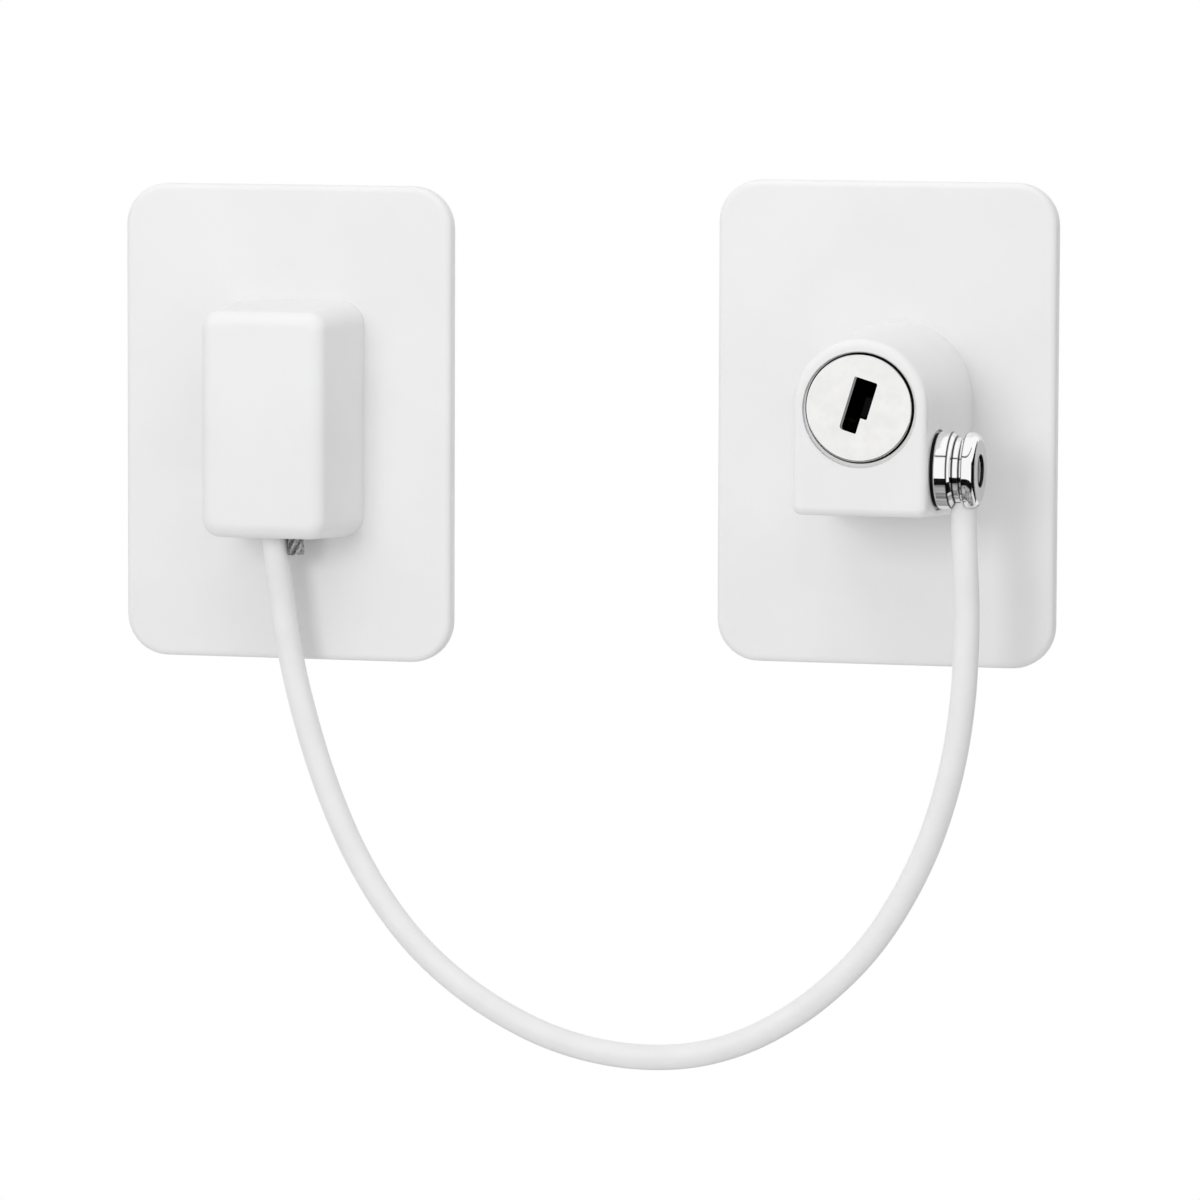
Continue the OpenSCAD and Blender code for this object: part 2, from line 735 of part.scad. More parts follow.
// Knob turned from bar: two rims with a groove between, and a recess for the screw in its end
module cable_knob() {
  bevel = 0.35;
  crown = 1.5;
  groove_r = knob_r - groove_depth;
  rim_end = knob_x + knob_rim_len;
  floor_start = rim_end + groove_slope;
  floor_end = floor_start + groove_w;
  bore_r = spindle_r + run_clear;
  crown_arc = [
    for (a = [0:15:75]) [knob_r - crown + crown * cos(a), knob_end_x - crown + crown * sin(a)]
  ];
  color(chrome) on_door(lock_x, lock_z) difference() {
    turned_x(concat(
      [[bore_r, knob_x], [knob_r - bevel, knob_x], [knob_r, knob_x + bevel], [knob_r, rim_end],
       [groove_r, floor_start], [groove_r, floor_end], [knob_r, floor_end + groove_slope]],
      crown_arc,
      [[knob_r - crown, knob_end_x], [recess_r, knob_end_x], [recess_r, knob_end_x - recess_depth],
       [bore_r, knob_end_x - recess_depth]]
    ));
    translate([socket_x, -pin_drop - crimp_top + seat_clear, pin_h]) rotate([90, 0, 0])
      cylinder(r = cable_r + 2 * seat_clear, h = knob_r);
  }
}

module stud_washer() {
  color(black_nylon) on_door(lock_x, lock_z) difference() {
    rod_x(knob_r - free_clear, washer_x, knob_x);
    rod_x(pin_r + 2 * run_clear, washer_x - cut, knob_x + cut);
  }
}

// Bead crimped on the rope's end, at the top of the knob's socket
module end_crimp() {
  color(steel) on_door(lock_x, lock_z) translate([socket_x, -pin_drop - crimp_top, pin_h]) rotate([90, 0, 0])
    cylinder(r = cable_r + seat_clear, h = crimp_len);
}

// Pin: a pointed head, a waist for the cam, a guide in the housing and a spindle in the knob
module locking_pin() {
  point = 0.9;
  slope = 0.5;
  color(chrome) on_door(lock_x, lock_z) difference() {
    turned_x([
      [0, pin_tip_x], [pin_r - point, pin_tip_x], [pin_r, pin_tip_x + point], [pin_r, head_shoulder_x],
      [waist_r, head_shoulder_x], [waist_r, guide_x], [pin_r, guide_x + slope],
      [pin_r, knob_x - seat_clear], [spindle_r, knob_x - seat_clear], [spindle_r, spindle_end_x],
      [0, spindle_end_x]
    ]);
    rod_x(tap_r, spindle_end_x - tap_len, spindle_end_x + cut);
  }
}

// Slotted screw in the knob's end
module knob_screw() {
  head_r = recess_r - free_clear;
  head_t = 0.8;
  slot_w = 0.7;
  color(steel) on_door(lock_x, lock_z) difference() {
    union() {
      rod_x(head_r, spindle_end_x, spindle_end_x + head_t);
      rod_x(tap_r - seat_clear, spindle_end_x - tap_len + tap_spare, spindle_end_x + seat_clear);
    }
    translate([spindle_end_x + head_t / 2, -pin_drop - slot_w / 2, pin_h - knob_r])
      cube([head_t, slot_w, 2 * knob_r]);
  }
}

anchor_plate();
anchor_pad();
anchor_cover();
cover_screws();
loop_post();
wire_eye();
eye_ferrule();
cable_jacket();
lock_plate();
lock_pad();
lock_housing();
housing_screws();
cylinder_sleeve();
sleeve_dowel();
cylinder_plug();
locking_cam();
retaining_clip();
wafer(0);  // wafer_1
wafer(1);  // wafer_2
wafer(2);  // wafer_3
wafer(3);  // wafer_4
wafer_spring(0);  // wafer_spring_1
wafer_spring(1);  // wafer_spring_2
wafer_spring(2);  // wafer_spring_3
wafer_spring(3);  // wafer_spring_4
cable_knob();
stud_washer();
end_crimp();
locking_pin();
knob_screw();
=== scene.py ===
# %% [markdown]
# # A cabinet safety lock
# Two white plates stick to a pair of cabinet doors, and a coated steel cable joins them.
# The left plate holds the cable in a closed block. The right plate carries a key lock with a chrome knob.
# The solid model gives every size and place, in metres, with X to the right, Y into the door and Z up.
# This lesson dresses those solids: it makes the rounded mouldings, the cable, the metal and the light.

# %% Load the solid model as the frame
import json
import math

import bmesh
import bpy
from mathutils import Matrix, Vector


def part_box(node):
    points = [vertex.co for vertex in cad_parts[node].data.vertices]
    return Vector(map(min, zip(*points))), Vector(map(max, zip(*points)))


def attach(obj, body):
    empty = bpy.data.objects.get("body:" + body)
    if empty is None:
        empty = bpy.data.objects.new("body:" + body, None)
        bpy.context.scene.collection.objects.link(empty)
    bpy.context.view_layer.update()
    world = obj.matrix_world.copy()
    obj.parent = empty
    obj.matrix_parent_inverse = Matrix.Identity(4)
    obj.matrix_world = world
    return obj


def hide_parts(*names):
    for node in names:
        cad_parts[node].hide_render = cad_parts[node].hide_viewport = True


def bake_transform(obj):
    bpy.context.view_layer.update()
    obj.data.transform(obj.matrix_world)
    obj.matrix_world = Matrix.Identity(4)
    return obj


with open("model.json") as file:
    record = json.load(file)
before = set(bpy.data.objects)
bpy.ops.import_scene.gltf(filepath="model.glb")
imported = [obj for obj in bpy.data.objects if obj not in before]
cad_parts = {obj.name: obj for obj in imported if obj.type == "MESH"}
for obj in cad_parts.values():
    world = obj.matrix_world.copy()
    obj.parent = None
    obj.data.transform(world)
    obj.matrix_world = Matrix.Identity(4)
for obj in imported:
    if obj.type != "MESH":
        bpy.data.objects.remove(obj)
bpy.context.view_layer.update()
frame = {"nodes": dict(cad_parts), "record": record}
MM = 0.001
scene = bpy.context.scene
scene.view_settings.view_transform = "Standard"

# %% [markdown]
# ## The camera
# The photograph was taken a little from the right and a little from above, with a long lens.
# A camera can be aimed with a tracking constraint, but writing its three axes into its matrix is exact.
# The lens follows from how wide a strip of the lock fills the square picture.

# %% Aim the camera
VIEW_TURN = math.radians(14.478)
VIEW_RISE = math.radians(5.497)
VIEW_ROLL = math.radians(-0.214)
VIEW_CENTRE = Vector((-46.438, -12, -29.714)) * MM
VIEW_DISTANCE = 1250 * MM
VIEW_WIDTH = 199.1 * MM
SENSOR = 36


def aimed_axes(turn, rise, roll):
    """Right, up and back of a camera that looks at the door from that side."""
    right = Vector((math.cos(turn), math.sin(turn), 0))
    back = Vector((math.sin(turn) * math.cos(rise), -math.cos(turn) * math.cos(rise), math.sin(rise)))
    up = back.cross(right)
    rolled_right = math.cos(roll) * right - math.sin(roll) * up
    rolled_up = math.sin(roll) * right + math.cos(roll) * up
    return rolled_right, rolled_up, back


camera = bpy.data.objects.new("camera", bpy.data.cameras.new("camera"))
scene.collection.objects.link(camera)
view_right, view_up, view_back = aimed_axes(VIEW_TURN, VIEW_RISE, VIEW_ROLL)
camera.matrix_world = (
    Matrix.Translation(VIEW_CENTRE + VIEW_DISTANCE * view_back)
    @ Matrix((view_right, view_up, view_back)).transposed().to_4x4()
)
camera.data.sensor_width = SENSOR
camera.data.lens = SENSOR * VIEW_DISTANCE / VIEW_WIDTH
scene.camera = camera
print("camera: lens", round(camera.data.lens, 1), "mm at", [round(x, 3) for x in camera.location])

# %% [markdown]
# ## Meshes and shading
# Every piece below is a closed mesh whose place is in its own points, as in the solid model.
# Smooth shading with sharp edges marked by angle keeps flats flat and roundings round.

# %% Helpers that make and shade a mesh
SHARP_ANGLE = math.radians(34)
MERGE_DISTANCE = 0.0002 * MM


def add_piece(name, points, faces, edges=()):
    """A new object from points and faces, with its normals turned outwards."""
    mesh = bpy.data.meshes.new(name)
    mesh.from_pydata([tuple(point) for point in points], list(edges), faces)
    piece = bpy.data.objects.new(name, mesh)
    scene.collection.objects.link(piece)
    if faces:
        settle(piece)
    return piece


def settle(piece):
    """Merges doubles, points the faces outwards and marks the sharp edges."""
    shell = bmesh.new()
    shell.from_mesh(piece.data)
    bmesh.ops.remove_doubles(shell, verts=shell.verts, dist=MERGE_DISTANCE)
    bmesh.ops.recalc_face_normals(shell, faces=shell.faces)
    shell.to_mesh(piece.data)
    shell.free()
    for polygon in piece.data.polygons:
        polygon.use_smooth = True
    piece.data.set_sharp_from_angle(angle=SHARP_ANGLE)


def harden(piece):
    """Turns what the modifiers make into the piece's own mesh."""
    graph = bpy.context.evaluated_depsgraph_get()
    mesh = bpy.data.meshes.new_from_object(piece.evaluated_get(graph))
    piece.modifiers.clear()
    piece.data = mesh


def carve(piece, *cutters):
    """Cuts each cutter out of the piece and throws the cutter away."""
    for cutter in cutters:
        cut = piece.modifiers.new("cut", "BOOLEAN")
        cut.operation = "DIFFERENCE"
        cut.solver = "EXACT"
        cut.object = cutter
        harden(piece)
        bpy.data.objects.remove(cutter)
    settle(piece)


def even_normals(piece):
    """Weights the normals by area, so that a flat stays flat beside a small rounding or a cut."""
    weigh = piece.modifiers.new("weigh", "WEIGHTED_NORMAL")
    weigh.keep_sharp = True
    harden(piece)


def dress(piece, material, body, slot, *nodes):
    """Gives a finished piece its material and its body, and hides the solids that it stands for. The slot is not
    used.
    """
    even_normals(piece)
    piece.data.materials.clear()
    piece.data.materials.append(material)
    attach(piece, body)
    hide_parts(*nodes)
    print(piece.name, "has", len(piece.data.polygons), "faces and stands for", *nodes)


# %% [markdown]
# ## Finishes
# A finish is a small tree of nodes: a Principled shader whose colour, roughness and bump come from noise.
# Object coordinates are metres here, so a noise scale of 1000 gives grain of about a millimetre.
# The helpers below keep each finish to a few lines.

# %% Helpers for material nodes
NOISE_LOW, NOISE_HIGH = 0.3, 0.7


def add_node(tree, kind, inputs=(), **settings):
    """A node with its settings, whose inputs are values or links from other nodes."""
    node = tree.nodes.new(kind)
    for key, value in settings.items():
        setattr(node, key, value)
    for key, value in dict(inputs).items():
        if isinstance(value, bpy.types.NodeSocket):
            tree.links.new(value, node.inputs[key])
        else:
            node.inputs[key].default_value = value
    return node


def new_finish(name, colour, roughness, metallic=0.0, **sockets):
    """A material with its Principled shader set to plain values."""
    material = bpy.data.materials.new(name)
    material.use_nodes = True
    shader = material.node_tree.nodes["Principled BSDF"]
    shader.inputs["Base Color"].default_value = (*colour, 1)
    shader.inputs["Roughness"].default_value = roughness
    shader.inputs["Metallic"].default_value = metallic
    for key, value in sockets.items():
        shader.inputs[key.replace("_", " ").title().replace("Ior", "IOR")].default_value = value
    return material, material.node_tree, shader


def places(tree):
    """Where each point of the piece lies, in metres."""
    return add_node(tree, "ShaderNodeTexCoord").outputs["Object"]


def grain(tree, scale, detail=2.0, stretch=(1, 1, 1), turn=(0, 0, 0)):
    """Noise fixed to the piece, stretched along an axis where stretch is below 1."""
    mapped = add_node(tree, "ShaderNodeMapping", {"Vector": places(tree), "Scale": stretch, "Rotation": turn})
    noise = add_node(tree, "ShaderNodeTexNoise", {
        "Vector": mapped.outputs["Vector"], "Scale": scale, "Detail": detail})
    return noise.outputs["Fac"]


def spread(tree, value, low, high, to_low=0.0, to_high=1.0, **settings):
    """The value, with its range from low to high spread over another range."""
    return add_node(tree, "ShaderNodeMapRange", {
        "Value": value, "From Min": low, "From Max": high, "To Min": to_low, "To Max": to_high,
    }, **settings).outputs["Result"]


def vary_colour(tree, shader, value, dark, light, low=NOISE_LOW, high=NOISE_HIGH):
    """Base colour that goes from dark to light as the value goes from low to high."""
    ramp = add_node(tree, "ShaderNodeValToRGB", {"Fac": value})
    for stop, position, colour in zip(ramp.color_ramp.elements, (low, high), (dark, light)):
        stop.position = position
        stop.color = (*colour, 1)
    tree.links.new(ramp.outputs["Color"], shader.inputs["Base Color"])
    return ramp


def vary_roughness(tree, shader, value, low, high):
    """Roughness that goes from low to high with the value."""
    gloss = spread(tree, value, NOISE_LOW, NOISE_HIGH, low, high)
    tree.links.new(gloss, shader.inputs["Roughness"])


def dent(tree, shader, height, depth, strength=1.0):
    """Bump of that depth in metres, on top of any bump that is already there."""
    inputs = {"Height": height, "Distance": depth, "Strength": strength}
    if shader.inputs["Normal"].is_linked:
        inputs["Normal"] = shader.inputs["Normal"].links[0].from_socket
    bump = add_node(tree, "ShaderNodeBump", inputs)
    tree.links.new(bump.outputs["Normal"], shader.inputs["Normal"])


def grey(value):
    return (value, value, value)


# %% [markdown]
# ## The cable
# The cable is a steel wire rope in a smooth white PVC coat, 4.2 mm thick and about 249 mm long.
# It leaves the block, hangs in one loop under its own weight and goes up into the knob.
# A bevelled curve would draw it, but a swept mesh gives each ring's middle, which measures the length,
# and a UV map that runs along the cable for the coat's faint marks.

# %% Sweep the cable along its route
CABLE_DIA = 4.2 * MM
CABLE_SIDES = 36
CABLE_STEPS = 6
CABLE_ROUTE = [
    (-0.10285, -0.012, -0.0145), (-0.10285, -0.012, -0.0175), (-0.1027, -0.012, -0.0215),
    (-0.1022, -0.012, -0.026), (-0.1015, -0.012, -0.031), (-0.1006, -0.0121, -0.037),
    (-0.0994, -0.0122, -0.043), (-0.0977, -0.0124, -0.0495), (-0.0955, -0.0128, -0.0565),
    (-0.09245, -0.0132, -0.0645), (-0.0884, -0.0138, -0.0729), (-0.0831, -0.0144, -0.0812),
    (-0.0769, -0.0151, -0.0883), (-0.07, -0.0158, -0.094), (-0.0624, -0.0165, -0.0986),
    (-0.0537, -0.0173, -0.1023), (-0.0447, -0.018, -0.1044), (-0.0357, -0.0188, -0.1049),
    (-0.0269, -0.0195, -0.1038), (-0.0183, -0.0202, -0.1008), (-0.01, -0.0208, -0.0959),
    (-0.0032, -0.0215, -0.0902), (0.0024, -0.022, -0.084), (0.0073, -0.0226, -0.0766),
    (0.0115, -0.0232, -0.0682), (0.0145, -0.0237, -0.0597), (0.0165, -0.0241, -0.0514),
    (0.0177, -0.0245, -0.043), (0.0182, -0.0248, -0.0355), (0.0183, -0.0249, -0.028),
    (0.01795, -0.025, -0.02), (0.01775, -0.025, -0.015), (0.01775, -0.025, -0.0097),
]


def smooth_route(points, steps):
    """Points along one smooth curve that goes through each of the given points."""
    points = [Vector(point) for point in points]
    padded = [2 * points[0] - points[1], *points, 2 * points[-1] - points[-2]]
    route = []
    for a, b, c, d in zip(padded, padded[1:], padded[2:], padded[3:]):
        for step in range(steps):
            t = step / steps
            route.append(0.5 * (2 * b + (c - a) * t + (2 * a - 5 * b + 4 * c - d) * t**2
                                + (3 * b - a - 3 * c + d) * t**3))
    return [*route, points[-1]]


def ring_faces(count, rings):
    """Faces of a closed skin over rings of count points each, with one face at either end."""
    faces = []
    for i in range(rings - 1):
        for k in range(count):
            a, b = i * count + k, i * count + (k + 1) % count
            faces.append((a, b, b + count, a + count))
    last = (rings - 1) * count
    return [*faces, tuple(range(count)), tuple(range(last, last + count))]


def sweep(name, route, radius, sides):
    """A round tube with closed ends, and a UV map: round it across, along it upwards."""
    points = []
    side = Vector((0, 1, 0))
    for i, middle in enumerate(route):
        heading = (route[min(i + 1, len(route) - 1)] - route[max(i - 1, 0)]).normalized()
        across = heading.cross(side).normalized()
        over = across.cross(heading)
        for k in range(sides):
            angle = math.tau * k / sides
            points.append(middle + radius * (math.cos(angle) * across + math.sin(angle) * over))
    tube = add_piece(name, points, ring_faces(sides, len(route)))
    uv = tube.data.uv_layers.new(name="along")
    for polygon in tube.data.polygons:
        corners = list(zip(polygon.loop_indices, polygon.vertices))
        wraps = any(v % sides == sides - 1 for _, v in corners)
        for loop, v in corners:
            u = 1.0 if wraps and v % sides == 0 else v % sides / sides
            uv.data[loop].uv = (u, v // sides / (len(route) - 1))
    return tube


cable_line = smooth_route(CABLE_ROUTE, CABLE_STEPS)
cable_length = sum((b - a).length for a, b in zip(cable_line, cable_line[1:]))
cable = sweep("coated_cable", cable_line, CABLE_DIA / 2, CABLE_SIDES)
print("cable:", round(cable_length * 1000, 1), "mm along", len(cable_line), "rings")

# %% [markdown]
# The coat is extruded, so its marks run along it: faint streaks, and the rope's lay showing through.
# Both read the UV map, so they follow the cable round its loop.

# %% Coat the cable
ROPE_LAY = 15 * MM
STRAND_COUNT = 6
STREAKS = (36, 9, 1)


def cable_coating():
    material, tree, shader = new_finish("cable_coating", grey(0.86), 0.36, specular_ior_level=0.3)
    along = add_node(tree, "ShaderNodeUVMap", uv_map="along").outputs["UV"]
    drawn = add_node(tree, "ShaderNodeMapping", {"Vector": along, "Scale": STREAKS})
    streaks = add_node(tree, "ShaderNodeTexNoise", {
        "Vector": drawn.outputs["Vector"], "Scale": 1.0, "Detail": 3.0}).outputs["Fac"]
    ridges = (STRAND_COUNT, cable_length / ROPE_LAY * STRAND_COUNT, 1)
    laid = add_node(tree, "ShaderNodeMapping", {"Vector": along, "Scale": ridges})
    lay = add_node(
        tree, "ShaderNodeTexWave", {"Vector": laid.outputs["Vector"], "Scale": 1 / math.tau * 0.5},
        wave_type="BANDS", bands_direction="DIAGONAL", wave_profile="SIN").outputs["Fac"]
    vary_colour(tree, shader, grain(tree, 140, 4), grey(0.84), grey(0.88))
    vary_roughness(tree, shader, streaks, 0.28, 0.42)
    dent(tree, shader, streaks, 0.012 * MM)
    dent(tree, shader, lay, 0.01 * MM, 0.5)
    dent(tree, shader, grain(tree, 1600), 0.003 * MM)
    return material


cable.data.materials.append(cable_coating())
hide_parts("cable_jacket")
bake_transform(cable)

# %% [markdown]
# ## Soft corners
# A moulded piece has no sharp corner. Blender's Bevel modifier can round one, but these shapes are made
# from a profile: a list of corners, each with its own radius. The helper below rounds every corner with an
# arc and adds a point close beside each arc, so that the flats next to it stay flat in a reflection.

# %% Round a profile's corners
HOLD = 0.12 * MM


def softened(corners, steps=6, closed=False):
    """Points of a profile whose corners (a, b, radius) are rounded."""
    spots = [(Vector((a, b)), radius) for a, b, radius in corners]
    count = len(spots)
    profile = []
    for i, (spot, radius) in enumerate(spots):
        if radius == 0 or (not closed and i in (0, count - 1)):
            profile.append(spot)
            continue
        before = spots[i - 1][0] - spot
        after = spots[(i + 1) % count][0] - spot
        half = before.angle(after) / 2
        reach = radius / math.tan(half)
        middle = spot + (before.normalized() + after.normalized()).normalized() * radius / math.sin(half)
        first = spot + before.normalized() * reach - middle
        turn = first.angle_signed(spot + after.normalized() * reach - middle)
        if before.length > 2 * (reach + HOLD):
            profile.append(spot + before.normalized() * (reach + HOLD))
        for step in range(steps + 1):
            profile.append(middle + Matrix.Rotation(-turn * step / steps, 2) @ first)
        if after.length > 2 * (reach + HOLD):
            profile.append(spot + after.normalized() * (reach + HOLD))
    return profile


test = softened([(0, 0, 0), (10 * MM, 0, 2 * MM), (10 * MM, 10 * MM, 0)])
print("a rounded corner has", len(test), "points, from", test[0], "to", test[-1])

# %% [markdown]
# ## Mouldings
# Plates, pads, block and lock body are all outlines on the door that rise to a front face and shrink a
# little on the way. Lofting one outline through the levels of a softened profile makes each of them.

# %% Loft an outline through levels above the door
CORNER_STEPS = 9


def corner_arc(quarter, x, z, radius, steps=CORNER_STEPS):
    """A quarter of a circle about (x, z), anticlockwise; quarter 0 starts at the right."""
    angles = [math.pi / 2 * (quarter + step / steps) for step in range(steps + 1)]
    return [(x + radius * math.cos(angle), z + radius * math.sin(angle)) for angle in angles]


def rectangle_outline(width, height, corner, steps=CORNER_STEPS):
    """Round-cornered rectangle about the origin, from its right side anticlockwise."""
    points = []
    for quarter, (sx, sz) in enumerate(((1, 1), (-1, 1), (-1, -1), (1, -1))):
        points += corner_arc(quarter, sx * (width / 2 - corner), sz * (height / 2 - corner), corner, steps)
    return points


def arch_outline(radius, drop, corner, steps=72):
    """Half circle over a square foot with round corners, anticlockwise from the arch's right end."""
    points = [(radius * math.cos(math.pi * i / steps), radius * math.sin(math.pi * i / steps))
              for i in range(steps + 1)]
    for quarter, sx in ((2, -1), (3, 1)):
        points += corner_arc(quarter, sx * (radius - corner), corner - drop, corner)
    return points


def loft(name, outline, profile, middle):
    """A closed piece: outline(inset, level) at each step of the profile, about a middle (x, z)."""
    points = []
    for inset, level in profile:
        ring = outline(inset, level)
        points += [(middle[0] + x, -level, middle[1] + z) for x, z in ring]
    return add_piece(name, points, ring_faces(len(ring), len(profile)))


def node_size(node):
    """Middle (x, z), width, height, back level and front level of a solid on the door."""
    low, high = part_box(node)
    middle = ((low[0] + high[0]) / 2, (low[2] + high[2]) / 2)
    return middle, high[0] - low[0], high[2] - low[2], -high[1], -low[1]


print("lock plate:", [round(x * 1000, 2) for x in node_size("lock_plate")[1:]], "mm")

# %% [markdown]
# ## Turned pieces
# The knob, the pin, the screws and the key cylinder are turned on a lathe, and so are most cutters.
# A profile of radius and distance, spun about an axis, makes them all.

# %% Spin a profile about an axis
ON_AXIS = 0.001 * MM
SPIN_AXES = {
    "X": ((1, 0, 0), (0, 1, 0), (0, 0, 1)),
    "Y": ((0, 1, 0), (1, 0, 0), (0, 0, 1)),
    "Z": ((0, 0, 1), (1, 0, 0), (0, 1, 0)),
}


def spin(name, profile, origin, axis, steps=128, closed=False):
    """A turned piece: profile points are (radius, distance along the axis from the origin)."""
    along, across, over = (Vector(line) for line in SPIN_AXES[axis])
    points = []
    faces = []
    rings = []
    for radius, distance in profile:
        turns = steps if radius > ON_AXIS else 1
        rings.append([len(points) + k for k in range(turns)])
        for k in range(turns):
            angle = math.tau * k / steps
            out = radius * (math.cos(angle) * across + math.sin(angle) * over)
            points.append(Vector(origin) + distance * along + out)
    pairs = list(zip(rings, rings[1:]))
    if closed:
        pairs.append((rings[-1], rings[0]))
    for low, high in pairs:
        for k in range(steps if max(len(low), len(high)) > 1 else 0):
            after = k + 1
            quad = [low[k % len(low)], low[after % len(low)], high[after % len(high)], high[k % len(high)]]
            faces.append(tuple(dict.fromkeys(quad)))
    return add_piece(name, points, faces)


lock_axis = Vector(node_size("cylinder_plug")[0])
print("the key cylinder's axis is at x, z =", [round(x * 1000, 2) for x in lock_axis], "mm")

# %% [markdown]
# ## White plastic
# Plates and block are moulded in white plastic with a satin skin. Close up it is never one flat white:
# the tone drifts a little, the gloss is uneven and the skin has the faint orange peel of the mould.

# %% Make the white plastic
def white_plastic():
    material, tree, shader = new_finish("white_plastic", grey(0.86), 0.4, specular_ior_level=0.45)
    drift = vary_colour(tree, shader, grain(tree, 45, 5), grey(0.845), grey(0.875))
    drift.color_ramp.interpolation = "EASE"
    vary_roughness(tree, shader, grain(tree, 260, 4), 0.34, 0.47)
    dent(tree, shader, grain(tree, 900, 1), 0.003 * MM)
    dent(tree, shader, grain(tree, 60, 1), 0.05 * MM)
    return material


WHITE_PLASTIC = white_plastic()
print("white plastic:", len(WHITE_PLASTIC.node_tree.nodes), "nodes")

# %% [markdown]
# ## Screws from behind
# Three countersunk screws hold the block to its plate and three hold the lock body. They repeat, so one
# screw is made once and Geometry Nodes place it on points. Their holes are cut from the same sizes.

# %% Turn the screws and their holes
SCREW_R = 1.2 * MM
SCREW_HEAD_R = 2.3 * MM
SCREW_LEN = 11 * MM
SCREW_RIM = 0.05 * MM
SCREW_TIP = 0.6 * MM
SCREW_TIP_R = 0.4 * MM
SCREW_CLEAR = 0.05 * MM
OVERCUT = 1 * MM  # how far a cutter starts outside what it cuts
HOLE_STEPS = 48


def screw_profile(gap):
    """From the middle of the head to the tip; gap widens it into its hole, which starts outside the plate."""
    start = -OVERCUT if gap else 0
    neck = SCREW_HEAD_R - SCREW_R + SCREW_RIM
    end = SCREW_LEN + gap
    return [(0, start), (SCREW_HEAD_R + gap, start), (SCREW_HEAD_R + gap, SCREW_RIM), (SCREW_R + gap, neck),
            (SCREW_R + gap, end - SCREW_TIP), (SCREW_TIP_R + gap, end), (0, end)]


def from_behind(name, profile, spot, back):
    """A turned piece at a spot (x, z) of the door, whose profile runs from a back level to the front."""
    return spin(name, [(r, -d) for r, d in profile], (spot[0], -back, spot[1]), "Y", HOLE_STEPS)


def screw_holes(name, spots, back):
    """One cutter for each screw, from the plate's back towards the front."""
    hole = screw_profile(SCREW_CLEAR)
    return [from_behind(f"{name}_{i}", hole, spot, back) for i, spot in enumerate(spots)]


print("a screw is", SCREW_LEN, "m long, and its hole is wider by", SCREW_CLEAR, "m all round")


# %% Place a shape on points with Geometry Nodes
def new_tree(name, inputs):
    """A Geometry Nodes tree with named inputs; returns it with its input and output nodes."""
    tree = bpy.data.node_groups.new(name, "GeometryNodeTree")
    tree.interface.new_socket("Geometry", in_out="INPUT", socket_type="NodeSocketGeometry")
    for label, kind in inputs.items():
        tree.interface.new_socket(label, in_out="INPUT", socket_type="NodeSocket" + kind)
    tree.interface.new_socket("Geometry", in_out="OUTPUT", socket_type="NodeSocketGeometry")
    return tree, tree.nodes.new("NodeGroupInput").outputs, tree.nodes.new("NodeGroupOutput").inputs


def grow(piece, tree, values):
    """Runs a tree on a piece with these input values and keeps the result as its mesh."""
    modifier = piece.modifiers.new(tree.name, "NODES")
    modifier.node_group = tree
    for item in tree.interface.items_tree:
        if item.in_out == "INPUT" and item.name in values:
            modifier[item.identifier] = values[item.name]
    harden(piece)
    settle(piece)


def close_tree(tree, geometry, given, result):
    """Ends a tree: makes its instances real, gives them their material and hands them out."""
    real = add_node(tree, "GeometryNodeRealizeInstances", {"Geometry": geometry})
    coloured = add_node(tree, "GeometryNodeSetMaterial", {
        "Geometry": real.outputs["Geometry"], "Material": given["Material"]})
    tree.links.new(coloured.outputs["Geometry"], result["Geometry"])
    return tree


def placing_tree():
    """Places one shape on every point."""
    tree, given, result = new_tree("place_on_points", {"Shape": "Object", "Material": "Material"})
    shape = add_node(tree, "GeometryNodeObjectInfo", {"Object": given["Shape"]})
    placed = add_node(tree, "GeometryNodeInstanceOnPoints", {
        "Points": given["Geometry"], "Instance": shape.outputs["Geometry"]})
    return close_tree(tree, placed.outputs["Instances"], given, result)


PLACE_ON_POINTS = placing_tree()
print("placing tree has the inputs", [item.name for item in PLACE_ON_POINTS.interface.items_tree])


# %% Cut the cross-slotted screw and place both sets
CROSS_LEN = 2.6 * MM
CROSS_T = 0.5 * MM
CROSS_CORNER = 0.05 * MM
CROSS_LEVELS = [(0, -0.5 * MM), (0, 0.1 * MM), (1.2 * MM, 0.9 * MM)]


def zinc_steel():
    material, tree, shader = new_finish("zinc_steel", (0.62, 0.63, 0.65), 0.32, 1.0)
    vary_colour(tree, shader, grain(tree, 420, 5), (0.5, 0.51, 0.53), (0.7, 0.71, 0.72))
    vary_roughness(tree, shader, grain(tree, 1500, 3), 0.22, 0.45)
    dent(tree, shader, grain(tree, 2400, 2), 0.004 * MM)
    return material


def spots_about(middle, spots):
    """Places (x, z) on the door of spots in millimetres about a middle."""
    return [(middle[0] + x * MM, middle[1] + z * MM) for x, z in spots]


ZINC_STEEL = zinc_steel()
COVER_SPOTS = spots_about(node_size("anchor_cover")[0], ((0, 16), (7.75, -16), (-7.75, -16)))
HOUSING_SPOTS = spots_about(lock_axis, ((0, 9.9), (8.6, -15), (-8.6, -15)))
PLATE_BACK = node_size("lock_plate")[3]

